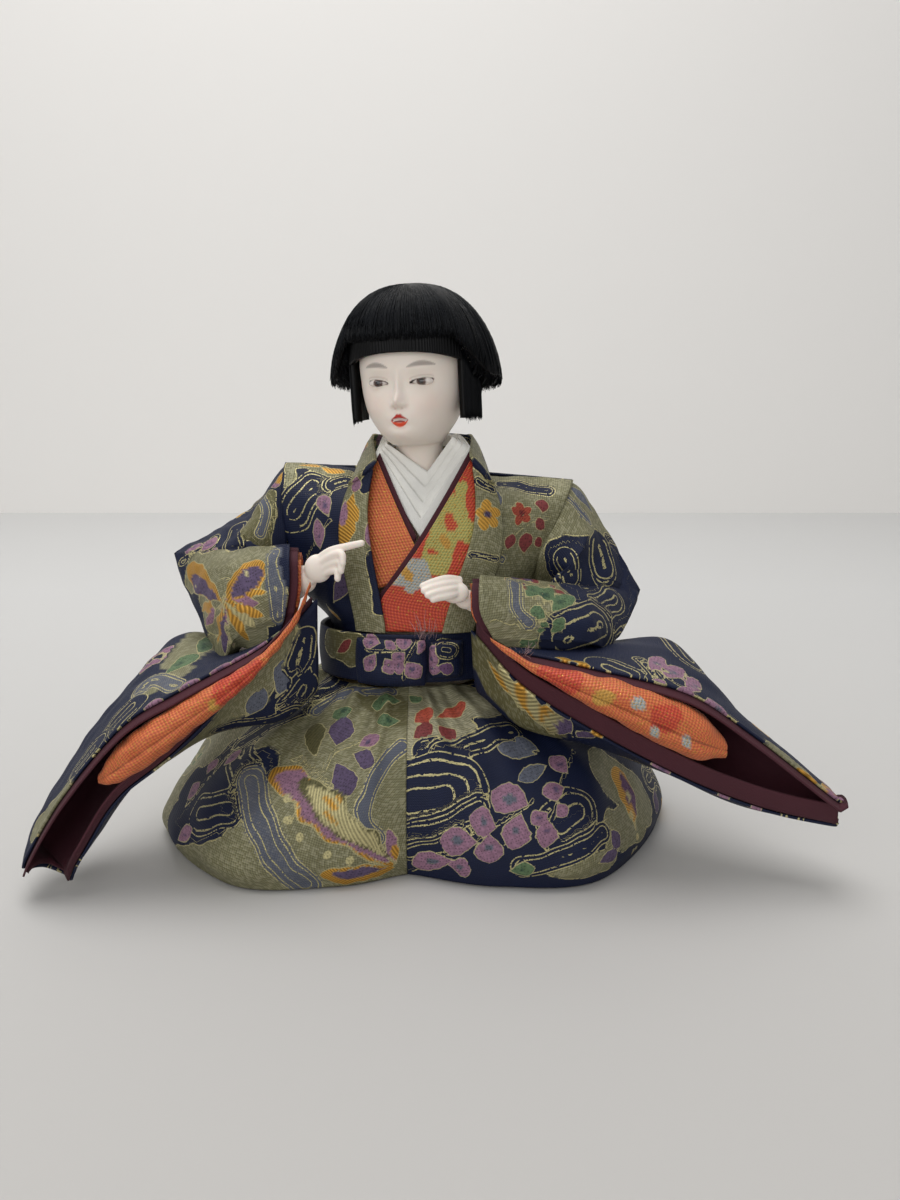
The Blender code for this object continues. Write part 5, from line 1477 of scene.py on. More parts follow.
# The butterfly on the left forearm: its middle, then each stripe's tip, colour, gold and half width
BUTTERFLY_BODY = (221, 600)
BUTTERFLY_STRIPES = [
    ((264, 592), GOLD, 0.9, 2.2), ((258, 604), MAUVE, 0.0, 2.0), ((262, 618), GOLD, 0.9, 2.2),
    ((254, 630), PALE_GOLD, 0.6, 2.0), ((246, 642), GOLD, 0.9, 2.0), ((236, 650), MAUVE, 0.0, 1.8),
    ((222, 658), PURPLE, 0.0, 2.0), ((210, 646), GOLD, 0.9, 2.0), ((202, 628), MAUVE, 0.0, 1.8),
    ((198, 612), GOLD, 0.9, 1.8),
]
ARM_MOTIFS = {
    -1: [
        ("field", OLIVE, 0.3, ((262, 498), (254, 528), 4.6), ((272, 510), (264, 540), 3.4)),
        ("streams", [(256, 496), (266, 510), (262, 530)], 2.2, 1.8, SLATE),
        ("loops", (236, 526), (232, 544), 4.2, 2.8),
        ("streams", [(180, 560), (205, 545), (214, 536)], 2.0, 2.4),
        ("hearted", MAUVE, PURPLE, ((182, 552), (200, 542), 2.2), ((200, 548), (216, 534), 2.4),
         ((208, 552), (224, 548), 1.8), ((266, 470), (274, 486), 2.0)),
        ("gilded", GOLD, 0.9, ((282, 462), (276, 482), 1.8)),
        ("field", SAGE, 0.6, ((190, 572), (255, 558), 7.0), ((205, 610), (256, 600), 9.0),
         ((222, 648), (250, 636), 6.0)),
        ("streams", [(274, 550), (274, 585), (276, 620)], 2.8, 1.7, SLATE, 0.2, False),
        *[("leaf", BUTTERFLY_BODY, tip, half, tone, gold) for tip, tone, gold, half in BUTTERFLY_STRIPES],
        ("leaf", (219, 602), (184, 568), 4.6, GOLD, 0.9, 0.5),
        ("leaf", (223, 600), (264, 560), 6.0, GOLD, 0.9, 0.5),
        ("leaf", (216, 600), (189, 575), 3.0, PURPLE, 0.0, 0.5),
        ("dots", PALE_GOLD, 0.9, (193, 584)),
        ("leaf", (228, 598), (259, 568), 4.2, PURPLE, 0.0, 0.5),
        ("dots", PALE_GOLD, 0.9, (243, 573)),
        ("leaf", (221, 592), (221, 612), 1.5, PALE_GOLD, 0.7),
    ],
    1: [
        ("leaves", SLATE, ((596, 514), (570, 484), 3.2)),
        ("streams", [(564, 492), (580, 506), (592, 520)], 1.6, 1.6, SLATE),
        ("field", NAVY, 0.0, ((565, 560), (625, 570), 10.0), ((600, 610), (628, 585), 9.0),
         ((560, 566), (590, 600), 6)),
        ("loops", (602, 545), (606, 566), 6.4, 4.0),
        ("loops", (562, 560), (572, 572), 4.8, 3.0),
        ("loops", (602, 606), (618, 596), 5.6, 3.0),
        ("loops", (570, 640), (604, 622), 9.5, 3.4),
        ("hearted", GREEN, DARK_GREEN, ((524, 594), (540, 584), 2.8), ((540, 606), (552, 584), 2.8),
         ((552, 612), (574, 592), 3.2), ((546, 614), (530, 606), 2.8), ((556, 616), (566, 628), 3.0),
         ((544, 618), (546, 634), 2.6)),
        ("stem", [(530, 590), (546, 610), (560, 630)]),
        ("streams", [(514, 580), (518, 604), (530, 626)], 2.2, 1.6, SLATE, 0.2),
    ],
}


def build_sleeves():
    for side, name in ((-1, "left"), (1, "right")):
        grid = grid_through(ARM_RINGS[side], ARM_STEPS, 15, (0, 5), True, (2,))
        middle = grid.mean(axis=1, keepdims=True)
        tuck = np.exp(-np.arange(len(grid)) / 4)[:, None]
        grid[..., 0] -= side * ARMHOLE_TUCK * tuck
        normals = outward(grid, True, middle)
        grid = grid - normals * 0.5 * tuck[..., None]
        fade = np.sin(np.linspace(0, math.pi, len(grid)))[:, None]
        fold = ripple(grid, 0.4, 12.0, 60 + side) + 0.4 * ripple(grid, 0.4, 5.0, 61 + side)
        grid = grid + normals * (fold * fade)[..., None]
        weaver = Weaver(grid, normals, NAVY if side < 0 else SAGE, 0.0 if side < 0 else 0.6)
        weaver.scatter(40 + side, 10)
        weaver.draw(ARM_MOTIFS[side])
        add_garment("arm_sleeve_" + name, grid, normals, weaver, "draped", "arm_core_" + name, True)
        build_cuff(side, name, grid[-2 * ARM_STEPS // 3 - 1 :])
        build_wing(side, name)


def build_cuff(side, name, cuff):
    """Wine lining and the orange under-sleeve's edge inside the cuff."""
    for layer, material, slot, kind in (
        (1, WINE_CLOTH, "wine_cloth", "cuff_lining_"), (2, FLECKED, "orange_brocade", "cuff_under_"),
    ):
        deep = layer * (CLOTH + GAP) + (layer - 1) * CUFF_STEP
        outer = toward_middle(cuff, deep)
        inner = toward_middle(cuff, deep + LINING)
        steps = np.linspace(0, 1, 5)[1:, None, None]
        show = np.array([side * -1.0, -0.15, 0.0]) * CUFF_SHOW[layer] * steps
        outer = np.concatenate([outer, outer[-1:] + show])
        inner = np.concatenate([inner, inner[-1:] + show])
        weaver = Weaver(outer, grid_normals(outer, True), ORANGE, 0.7)
        weaver.thread[:] = GOLD
        piece = add_shell(
            kind + name + "_cloth", outer, inner, material, slot, [kind + name], weaver.values(), True
        )
        lay_sheet(outer)


# Wings: the hanging part of each sleeve

WING_SECTIONS = {
    -1: [
        [(-43.5, -48.5, 82.5), (-43, -40, 81), (-41, -32, 83), (-38, -28, 82),
         (-34, -30, 74), (-33, -40, 60), (-31.5, -45, 92)],
        [(-53, -52, 76.5), (-55, -42, 74.5), (-58, -26, 70), (-57, -12, 66),
         (-52, -18, 55), (-46, -42, 50), (-45.5, -53, 76.5)],
        [(-74.7, -58, 65.8), (-76, -46, 67.4), (-80, -28, 70), (-82, -13, 72),
         (-78, -13, 62), (-72, -36, 44), (-74, -58, 46.8)],
        [(-91.3, -62, 55.8), (-93, -50, 58.4), (-96, -36, 59.4), (-98, -26, 57.5),
         (-95, -24, 45), (-91, -42, 33), (-92.7, -62, 31.8)],
        [(-110, -66, 34.2), (-111, -56, 36.4), (-113, -46, 37.6), (-115.5, -38, 35),
         (-111, -37, 24), (-106, -50, 14), (-104.5, -65, 14)],
        [(-123, -66, 13), (-124, -61, 15.5), (-125, -55, 17), (-125, -50, 15),
         (-120, -52, 10), (-113, -57, 7), (-108, -64, 8)],
        [(-123.5, -64, 9), (-122, -62, 8.4), (-120, -60, 7.6), (-117.5, -59.5, 6.6),
         (-115, -60, 5.8), (-112, -61, 5), (-109.5, -63, 4.8)],
    ],
    1: [
        [(26.5, -50.5, 76.8), (28.4, -40, 77.0), (32, -28, 74), (33, -18, 68),
         (28, -25, 58.5), (19, -39, 59), (16.5, -46.5, 82)],
        [(36, -52, 76.2), (38, -42, 75.4), (43, -26, 72.5), (44, -12, 67),
         (40, -17, 56), (34, -43, 48), (32, -52.5, 66)],
        [(55, -54, 72.4), (58, -44, 72.8), (62, -27, 72.2), (65, -11, 67),
         (62, -12, 54), (55, -40, 42), (54, -56, 52)],
        [(84, -56, 65.0), (85, -44, 67.2), (87, -28, 69), (88, -16, 68),
         (85, -16, 52), (80, -38, 34), (82, -58, 37)],
        [(106, -58.5, 51.0), (107, -50, 51.4), (108.5, -42, 49), (110, -34, 42),
         (107, -36, 33), (104, -48, 24.5), (107, -60, 27.4)],
        [(129, -62, 33.5), (129.5, -58, 33.5), (130, -53, 33), (130.5, -50, 30),
         (130, -52, 26.5), (129, -56, 23.5), (129, -61, 22.5)],
        [(132.2, -61, 31.6), (132.4, -60, 30), (132.4, -59.4, 28.5), (132.4, -59.2, 27),
         (132.4, -59.4, 25.5), (132.3, -60, 24), (132.2, -61, 23)],
    ],
}
# How far the lining's upper and lower edge stand out past the mouth's edges
LIPS = {
    -1: [(0.0, -2.8, -1.7), (0.0, -1.6, 2.9)],
    1: [(0.0, -2.6, -1.4), (0.0, -1.0, 6.4)],
}
# Rings of the stuffed inner sleeve: middle, half height, half depth
INNER_BAG = {
    -1: [
        [(-33.4, -46, 96.8), 1.0, 1.2], [(-38.0, -51, 86.4), 1.6, 1.9], [(-47.0, -55, 75.6), 2.2, 3.2],
        [(-57.0, -57, 67.4), 3.9, 5.0], [(-71.0, -58, 58.0), 5.6, 6.4], [(-85.0, -60, 48.6), 7.0, 6.6],
        [(-94.0, -61, 42.2), 5.4, 5.2], [(-98.4, -62, 39.2), 1.6, 2.2],
    ],
    1: [
        [(22.6, -51, 80.6), 0.8, 1.0], [(28.0, -53, 77.2), 1.0, 1.4], [(36.0, -55, 72.6), 1.6, 2.2],
        [(50.0, -56, 67.0), 4.4, 5.0], [(62.6, -56, 62.2), 6.6, 7.2], [(75.0, -56, 56.6), 8.2, 8.0],
        [(87.0, -57, 51.4), 7.6, 7.0], [(95.4, -58, 47.8), 2.8, 3.4],
    ],
}


FAN_FOOT = (552, 742)
FAN_TIPS = [(486, 660), (500, 664), (516, 672), (530, 684), (546, 700), (556, 716)]
WING_MOTIFS = {
    -1: [
        ("patch", SAGE, 0.4, ((180, 655), (215, 632), 7.0), ((150, 685), (180, 668), 5.0)),
        ("streams", [(138, 688), (155, 676), (176, 682)], 3.4, 2.0, SLATE, 0.2),
        ("hearted", GREEN, DARK_GREEN, ((166, 672), (196, 650), 4.2), ((196, 652), (216, 634), 3.0)),
        ("loops", (128, 706), (108, 728), 6.5, 3.0),
        ("loops", (92, 745), (74, 768), 5.6, 3.0),
        ("hearted", MAUVE, PURPLE, ((236, 664), (250, 652), 2.2), ((216, 676), (230, 664), 2.4),
         ((190, 694), (206, 682), 2.4), ((150, 712), (166, 700), 2.2), ((252, 654), (268, 640), 2.2)),
        ("field", SAGE, 0.5, ((60, 795), (35, 825), 4.6)),
        ("field", SAGE, 0.6, ((288, 640), (262, 686), 4.4), ((262, 690), (200, 745), 5.4),
         ((200, 745), (170, 778), 4.0)),
        ("leaves", SLATE, ((272, 700), (292, 655), 4.0), ((250, 720), (268, 690), 3.0)),
        ("loops", (308, 640), (300, 664), 4.6, 2.8),
        ("loops", (306, 690), (296, 706), 5.4, 2.8),
        ("streams", [(300, 724), (262, 740), (232, 762)], 3.6, 2.4),
    ],
    1: [
        ("loops", (608, 664), (614, 690), 7.0, 3.4),
        ("streams", [(638, 655), (650, 668), (652, 690)], 2.2, 2.4),
        ("gilded", GOLD, 0.9, ((556, 655), (574, 658), 1.8), ((574, 658), (590, 664), 1.6)),
        ("hearted", MAUVE, SLATE, ((650, 668), (664, 654), 3.0), ((664, 676), (684, 664), 3.2),
         ((652, 676), (668, 690), 3.2), ((684, 690), (702, 680), 3.0), ((680, 696), (698, 708), 3.0),
         ((704, 708), (722, 704), 2.8), ((708, 716), (726, 728), 2.6)),
        ("stem", [(648, 656), (676, 682), (705, 708), (738, 728)]),
        ("field", SAGE, 0.5, ((776, 752), (806, 772), 4.0)),
        ("gilded", GOLD, 0.8, ((800, 770), (820, 783), 1.8)),
        # Painted shade: an olive patch for the sage ground shaded under the right forearm.
        ("patch", OLIVE, 0.5, ((482, 662), (548, 738), 6.4), ((470, 648), (490, 680), 4.0)),
        *[("leaf", FAN_FOOT, tip, 2.6, (GOLD, PALE_GOLD)[index % 2], 0.9, 0.5)
            for index, tip in enumerate(FAN_TIPS)
        ],
        ("leaves", PURPLE, ((556, 738), (580, 716), 3.0), ((570, 742), (596, 736), 2.4)),
        ("gilded", GOLD, 0.9, ((590, 735), (604, 742), 2.2)),
        ("hearted", MAUVE, PURPLE, ((650, 765), (668, 776), 2.4), ((676, 782), (694, 792), 2.4),
         ((705, 800), (725, 808), 2.4), ((745, 812), (765, 818), 2.0)),
        ("gilded", GOLD, 0.9, ((785, 822), (815, 828), 1.8)),
    ],
}


def build_wing(side, name):
    grid = grid_through(WING_SECTIONS[side], 15, 13)
    normals = grid_normals(grid) * side
    rows, columns = grid.shape[:2]
    fade = np.sin(np.linspace(0.15, math.pi, rows))[:, None]
    fade = fade * np.sin(np.linspace(0.1, math.pi - 0.1, columns))
    grid = grid + normals * (ripple(grid, 0.35, 13.0, 80 + side) * fade)[..., None]
    weaver = Weaver(grid, normals, NAVY, 0.0)
    weaver.scatter(50 + side, 12)
    weaver.draw(WING_MOTIFS[side])
    below = "trouser_leg_" + name + "_brocade"
    add_garment("sleeve_bag_" + name, grid, normals, weaver, "draped", below)

    layers = []
    for deep in (CLOTH + GAP, CLOTH + GAP + LINING):
        inside = grid - normals * deep
        steps = np.linspace(1, 0, 7)[:-1, None, None]
        ends = np.minimum(1, 8 * np.linspace(1, 0, rows) + 0.1)[None, :, None]
        ends = ends * np.linspace(0.5, 2.2, rows).clip(0, 1)[None, :, None]
        first = inside[:, 0][None] + np.array(LIPS[side][0]) * steps * ends
        last = inside[:, -1][None] + np.array(LIPS[side][1]) * steps[::-1] * ends
        joined = np.concatenate([first.swapaxes(0, 1), inside, last.swapaxes(0, 1)], axis=1)
        layers.append(joined[1:-1])
    node = "bag_lining_" + name
    outer, inner = layers[0][::2], layers[1][::2]
    values = {"cloth": cloth_places(outer)}
    piece = add_shell(node + "_cloth", outer, inner, WINE_CLOTH, "wine_cloth", [node], values)
    lay_sheet(layers[0])
    build_pad(side, name)


# Flowers on the stuffed inner sleeves: colour, share of metal flecks, radius and spot
PAD_FLOWERS = {
    -1: [
        (GOLD, 0.9, 3.0, (215, 705)), (RED_ORANGE, 0.35, 6.0, (235, 690)),
        (RED_ORANGE, 0.35, 4.0, (255, 668)),
    ],
    1: [
        (RED_ORANGE, 0.35, 7.0, (560, 680)), (FLOWER_BLUE, 0.9, 2.2, (640, 700)),
        (FLOWER_BLUE, 0.9, 2.0, (690, 740)), (RED_ORANGE, 0.35, 5.0, (665, 720)),
        (FLOWER_BLUE, 0.9, 1.8, (655, 735)), (GOLD, 0.9, 3.0, (600, 700)),
    ],
}


PAD_COLUMNS = 64
STITCH_ROWS = 3.0
SEAM_ANGLE = 0.34
SEAM_SPREAD = 0.07


def build_pad(side, name):
    """The stuffed inner sleeve, with a stitched seam along its lip."""
    angles = np.arange(PAD_COLUMNS) * 2 * math.pi / PAD_COLUMNS
    rings = []
    for middle, half_height, half_depth in INNER_BAG[side]:
        dent = 1 - 0.16 * np.exp(-((np.sin(angles / 2) / 0.12) ** 2))
        depth = -np.cos(angles) * half_depth * dent
        rise = np.sin(angles) * half_height
        rings.append(np.stack([middle[0] + 0 * angles, middle[1] + depth, middle[2] + rise], axis=1))
    grid = curve_through(np.array(rings), 14)
    normals = outward(grid, True, grid.mean(axis=1, keepdims=True))
    stitch = np.sin(np.arange(len(grid)) * 2 * math.pi / STITCH_ROWS)[:, None]
    seam = np.exp(-(((angles - SEAM_ANGLE) / SEAM_SPREAD) ** 2))[None]
    pucker = ripple(grid, 0.22, 6.0, 90 + side) - seam * (0.3 + 0.12 * stitch)
    grid = grid + normals * pucker[..., None]
    weaver = Weaver(grid, normals, ORANGE, 0.7)
    weaver.thread[:] = GOLD
    for tone, share, radius, spot in PAD_FLOWERS[side]:
        weaver.patch(tone, share, (spot, spot, radius))
    node = "inner_sleeve_" + name
    piece = add_lump(node + "_pad", grid, FLECKED, [node], weaver.values())


# Trousers

SEAM_X = -4.0
HEM_Z = 0.7
WAIST_Z = 56.0
WAIST_ROW_HEIGHT = 56.0
GATHERS = 7
GATHER_DEPTH = 1.3
SEAM_TUCK = 0.45
SEAM_RISE = 1.4
SEAM_HALF = 3.0
LEG_ROWS = {
    -1: [
        [(0.4, -26, 56), (13, -26, 57), (25, -18, 56.5), (30, -2, 56),
         (25, 12, 54), (12, 19, 53), (0.4, 20, 53)],
        [(0.4, -35, 51), (15, -37, 51), (33, -29, 50), (43, -3, 50),
         (34, 20, 50), (15, 30, 50), (0.4, 30, 50)],
        [(0.4, -47, 42), (20, -50, 41), (47, -43, 39), (65, -6, 38),
         (50, 30, 38), (20, 40, 38), (0.4, 39, 38)],
        [(0.4, -54, 27), (23, -59, 27), (56, -56, 24), (80, -11, 22),
         (60, 37, 22), (24, 46, 22), (0.4, 44, 22)],
        [(0.4, -55, 10), (23, -62, 10), (59, -60, 9), (89, -15, 7),
         (64, 39, 8), (24, 47, 8), (0.4, 45, 8)],
        [(0.4, -52, 0), (23, -60, 0), (58, -58, 0), (87, -16, 0),
         (62, 38, 0), (24, 46, 0), (0.4, 43, 0)],
    ],
    1: [
        [(0.4, -26, 56), (11, -26, 57), (24, -18, 56.5), (30, -2, 56),
         (25, 12, 54), (12, 19, 53), (0.4, 20, 53)],
        [(0.4, -35, 51), (17, -37, 51), (37, -29, 50), (47, 0, 50),
         (37, 20, 50), (17, 30, 50), (0.4, 30, 50)],
        [(0.4, -47, 42), (25, -50, 41), (53, -41, 39), (70, -3, 38),
         (54, 30, 38), (24, 40, 38), (0.4, 39, 38)],
        [(0.4, -54, 27), (29, -59, 27), (62, -52, 24), (84, -1, 22),
         (65, 37, 22), (27, 46, 22), (0.4, 44, 22)],
        [(0.4, -55, 10), (30, -62, 10), (66, -56, 9), (93, -1, 7),
         (69, 39, 8), (28, 47, 8), (0.4, 45, 8)],
        [(0.4, -52, 0), (30, -60, 0), (65, -54, 0), (92, -2, 0),
         (68, 38, 0), (28, 46, 0), (0.4, 43, 0)],
    ],
}


def leg_grid(side):
    """The cloth of one leg, with gathers that open downwards from the belt."""
    scale = (WAIST_Z - HEM_Z) / WAIST_ROW_HEIGHT
    rows = [[(SEAM_X + side * x, y, HEM_Z + z * scale) for x, y, z in row] for row in LEG_ROWS[side]]
    grid = grid_through(rows, 18, 36)
    normal = grid_normals(grid) * -side
    if side < 0:
        grid, normal = grid[:, ::-1], normal[:, ::-1]
    down = np.linspace(0, 1, grid.shape[0])[:, None]
    across = np.linspace(0, 1, grid.shape[1])[None, :]
    fade = np.clip(1 - down / 0.62, 0, 1) ** 0.8 * np.minimum(1, 6 * down + 0.3)
    edge = np.minimum(1, 12 * np.minimum(across, 1 - across))
    wave = np.cos(across * GATHERS * 2 * math.pi) + 0.45 * np.cos(across * 31 * math.pi + 2)
    grid = grid + normal * (GATHER_DEPTH * wave * fade * edge)[..., None]
    calm = np.clip((1 - down) * 8, 0, 1) * edge
    seam = np.exp(-(((grid[..., 0] - SEAM_X) / SEAM_HALF) ** 2))
    grid[..., 0] -= side * SEAM_TUCK * seam
    grid[..., 2] += SEAM_RISE * seam * np.clip(1 - 14 * down, 0, 1)
    return grid + normal * (ripple(grid, 0.45, 16.0, 70 + side) * calm)[..., None]


LEG_MOTIFS = {
    -1: [
        ("field", NAVY, 0.0, ((190, 790), (250, 768), 9.0), ((172, 820), (212, 812), 9.0),
         ((215, 765), (275, 715), 7.0)),
        ("loops", (196, 812), (226, 806), 7.0, 3.2),
        ("loops", (238, 748), (244, 778), 6.0, 3.2),
        ("streams", [(300, 706), (270, 722), (238, 742)], 3.6, 2.4),
        ("hearted", MAUVE, PURPLE, ((205, 772), (216, 756), 2.8), ((186, 796), (198, 780), 3.0),
         ((222, 764), (238, 748), 2.4), ((176, 842), (190, 830), 3.0)),
        ("stem", [(182, 806), (206, 776), (236, 744)]),
        ("streams", [(252, 778), (256, 822), (276, 860), (306, 886)], 5.6, 2.3, SLATE, 0.2),
        # Painted shade: an olive patch for the sage ground shaded under the belt.
        ("patch", OLIVE, 0.3, ((372, 690), (400, 712), 6.0)),
        ("streams", [(318, 708), (345, 690), (392, 686)], 2.4, 2.0, SLATE),
        ("hearted", GREEN, DARK_GREEN, ((402, 698), (374, 704), 3.0), ((402, 718), (374, 720), 3.0),
         ((354, 706), (330, 716), 3.4)),
        ("leaf", (315, 754), (312, 722), 3.8, OLIVE, 0.4, 0.5),
        ("leaves", PURPLE, ((338, 744), (350, 716), 4.2), ((350, 752), (378, 762), 3.4),
         ((338, 760), (350, 792), 4.0)),
        ("hearted", MAUVE, PURPLE, ((360, 744), (380, 732), 2.8)),
        ("stem", [(326, 766), (340, 748), (372, 738)]),
        ("streams", [(402, 742), (384, 768), (366, 812), (380, 842)], 2.6, 1.8, SLATE),
        ("leaf", (396, 868), (268, 768), 10.6, GOLD, 0.9, 0.55),
        ("leaf", (392, 864), (275, 773), 8.8, MAUVE, 0.0, 0.55),
        ("leaf", (392, 860), (298, 776), 6.8, OLIVE, 0.4, 0.55),
        ("leaf", (390, 858), (308, 784), 5.4, PALE_GOLD, 0.7, 0.6),
        ("leaf", (386, 856), (322, 792), 1.5, GOLD, 0.9, 0.5),
        ("leaf", (388, 852), (336, 790), 1.3, GOLD, 0.9, 0.5),
        ("leaf", (384, 860), (322, 806), 1.3, GOLD, 0.9, 0.5),
        ("dots", PALE_GOLD, 1.3, (288, 796), (290, 816), (303, 838), (330, 856), (352, 862)),
        ("stem", [(290, 756), (330, 790), (374, 840)]),
        ("stem", [(296, 754), (336, 788), (380, 838)]),
        ("leaf", (396, 870), (320, 878), 3.8, GOLD, 0.9, 0.5),
        ("leaf", (388, 871), (332, 877), 2.2, PURPLE),
        ("leaf", (398, 866), (390, 830), 2.4, MAUVE, 0.0),
        ("leaf", (398, 864), (397, 846), 1.3, GOLD, 0.9),
    ],
    1: [
        # Painted highlight: the sage field near the seam, in a lighter tone where the knee faces the light.
        ("field", SILVER_SAGE_PAINTED_HIGHLIGHT, 0.8, ((418, 695), (480, 700), 8.5), ((412, 730), (452, 728), 7.0),
         ((406, 780), (420, 750), 7.0)),
        ("field", SAGE, 0.5, ((606, 770), (645, 800), 9.0), ((560, 872), (610, 862), 4.5),
         ((620, 830), (640, 820), 7.0)),
        ("leaves", RED, ((412, 720), (430, 706), 3.0), ((438, 716), (464, 700), 3.0)),
        ("leaves", DARK_RED, ((412, 736), (432, 722), 3.0), ((436, 722), (454, 736), 2.6)),
        ("leaves", GREEN, ((408, 692), (420, 698), 1.8)),
        ("loops", (424, 746), (436, 746), 4.2, 2.6),
        ("streams", [(440, 752), (475, 742), (512, 730)], 4.2, 2.6),
        ("loops", (405, 800), (440, 794), 14.6, 4.4),
        ("streams", [(406, 836), (440, 830), (476, 806)], 3.6, 2.6),
        ("streams", [(408, 856), (432, 850), (456, 838)], 3.2, 2.6),
        ("loops", (560, 822), (580, 812), 8.0, 3.4),
        ("streams", [(520, 872), (570, 858), (604, 834)], 3.6, 2.4),
        ("leaves", SLATE, ((538, 752), (500, 746), 3.2), ((548, 762), (518, 776), 3.2),
         ((540, 748), (516, 734), 2.4)),
        ("stem", [(412, 874), (450, 856), (494, 832), (534, 798)]),
        ("hearted", MAUVE, SLATE, ((528, 802), (494, 790), 5.0), ((500, 828), (466, 818), 4.8),
         ((518, 812), (512, 852), 4.6), ((478, 846), (436, 842), 4.6), ((490, 838), (488, 866), 4.6),
         ((450, 862), (412, 868), 3.6), ((446, 866), (470, 872), 3.6)),
        ("stem", [(574, 748), (560, 790), (548, 822)]),
        ("hearted", MAUVE, PURPLE, ((568, 770), (552, 756), 3.2), ((564, 784), (544, 792), 3.0),
         ((552, 812), (536, 822), 3.0), ((550, 818), (546, 852), 3.8), ((558, 800), (570, 816), 2.8)),
        ("leaf", (646, 862), (618, 764), 5.4, GOLD, 0.8, 0.5),
        ("leaf", (644, 856), (622, 772), 3.9, DUSKY, 0.0, 0.5),
        ("dots", PALE_GOLD, 1.0, (628, 792), (634, 816), (640, 838)),
        ("leaves", PURPLE, ((612, 828), (622, 850), 2.8), ((600, 866), (620, 852), 2.6),
         ((656, 786), (660, 816), 2.4)),
        ("hearted", GREEN, DARK_GREEN, ((508, 874), (534, 870), 2.6)),
    ],
}


def build_legs():
    for side, name in ((-1, "left"), (1, "right")):
        grid = leg_grid(side)
        normals = outward(grid)
        weaver = Weaver(grid, normals, SAGE if side < 0 else NAVY, 0.6 if side < 0 else 0.0)
        weaver.scatter(70 + side, 18, lambda points, front: points[:, 1] > -20)
        weaver.draw(LEG_MOTIFS[side])
        node, below = "trouser_leg_" + name, "leg_stuffing_" + name
        add_garment(node, grid, normals, weaver, "draped", below, slot="hakama_brocade")


# Belt and bow

BELT_X = -3.5
BELT_Y = -3.0
BELT_LOW = 57.0
BELT_HALF_WIDTH = 32.6
BELT_HALF_DEPTH = 28.4
BELT_THICK = 1.4
BELT_POWER = 2.2
BELT_BULGE = 0.02
BOW_THICK = 3.6
BOW_PIECES = [("left", (-9.6, 67.2), 12.0, 8.2), ("right", (8.8, 68.0), 5.6, 6.6)]


def belt_front(x):
    share = np.abs((x - BELT_X) / BELT_HALF_WIDTH)
    depth = BELT_HALF_DEPTH * (1 - share**BELT_POWER) ** (1 / BELT_POWER)
    return BELT_Y - depth * (1 + BELT_BULGE)


BELT_MOTIFS = [
    ("field", OLIVE, 0.3, ((332, 645), (352, 650), 5.5)),
    ("leaves", DARK_RED, ((334, 655), (348, 640), 2.0)),
    ("loops", (444, 650), (452, 650), 3.4, 1.6),
    ("hearted", MAUVE, PURPLE, ((362, 642), (376, 642), 2.4), ((360, 664), (374, 668), 2.4)),
]
BOW_MOTIFS = [
    ("hearted", MAUVE, PURPLE,
     ((378, 640), (360, 634), 2.6), ((384, 646), (390, 630), 2.6), ((374, 656), (362, 672), 2.6),
     ((382, 660), (390, 676), 2.2), ((414, 640), (396, 634), 2.8), ((406, 656), (392, 666), 2.8),
     ((420, 636), (430, 652), 2.8), ((408, 664), (424, 678), 2.8), ((396, 660), (402, 676), 2.2)),
    ("stem", [(420, 630), (410, 656), (402, 682)]),
    ("stem", [(364, 652), (384, 656), (400, 656)]),
]
BOW_RIGHT_MOTIFS = [
    ("loops", (446, 648), (452, 650), 3.0, 1.5),
    ("leaves", DUSKY, ((440, 668), (456, 672), 2.2)),
]


def build_belt():
    angles = np.arange(220) * 2 * math.pi / 220
    rows = []
    for share in np.linspace(0, 1, 22):
        z = BELT_LOW + (BELT_HIGH - BELT_LOW) * share
        bulge = 1 + BELT_BULGE * math.sin(math.pi * share)
        power = 2 / BELT_POWER
        x = np.sign(np.cos(angles)) * np.abs(np.cos(angles)) ** power * BELT_HALF_WIDTH * bulge
        y = np.sign(np.sin(angles)) * np.abs(np.sin(angles)) ** power * BELT_HALF_DEPTH * bulge
        rows.append(np.stack([BELT_X + x, BELT_Y + y, z - y * BELT_SLOPE], axis=1))
    grid = np.array(rows)
    normals = outward(grid, True, (BELT_X, BELT_Y, 65))
    weaver = Weaver(grid, normals, NAVY, 0.0)
    weaver.scatter(91, 10)
    weaver.draw(BELT_MOTIFS)
    hold = ("folded", "torso_core", True, "hakama_brocade", BELT_THICK)
    add_garment("waist_band", grid, normals, weaver, *hold)


def build_bow():
    """The two flat loops of the bow, in front of the belt."""
    across, upward = np.meshgrid(np.linspace(-1, 1, 48), np.linspace(-1, 1, 32))
    for name, (x, z), half_x, half_z in BOW_PIECES:
        rounding = 1 - 0.06 * across**2 * upward**2
        width = half_x * across * rounding
        back = np.stack([x + width, 0 * across, z + half_z * upward * rounding], -1)
        back[..., 1] = belt_front(back[..., 0]) - GAP - 0.1
        front = back.copy()
        plump = (1 - across**6) * (1 - upward**6)
        pleat = 0.45 * np.exp(-(((upward - 0.1 * across) / 0.07) ** 2)) * (1 - across**4)
        front[..., 1] -= BOW_THICK * (0.3 + 0.7 * plump) - pleat - ripple(front, 0.15, 6.0, 95)
        normals = grid_normals(front)
        normals = normals * np.sign((normals[..., 1] * -1).sum())
        weaver = Weaver(front, normals, NAVY, 0.0)
        weaver.draw(BOW_MOTIFS)
        if name == "right":
            weaver.draw(BOW_RIGHT_MOTIFS)
        node = "bow_loop_" + name
        outer = weaver.relief(front, normals)
        piece = add_shell(
            node + "_brocade", outer, back, BROCADE, "hakama_brocade", [node], weaver.values()
        )


# Loose threads at the frayed edges

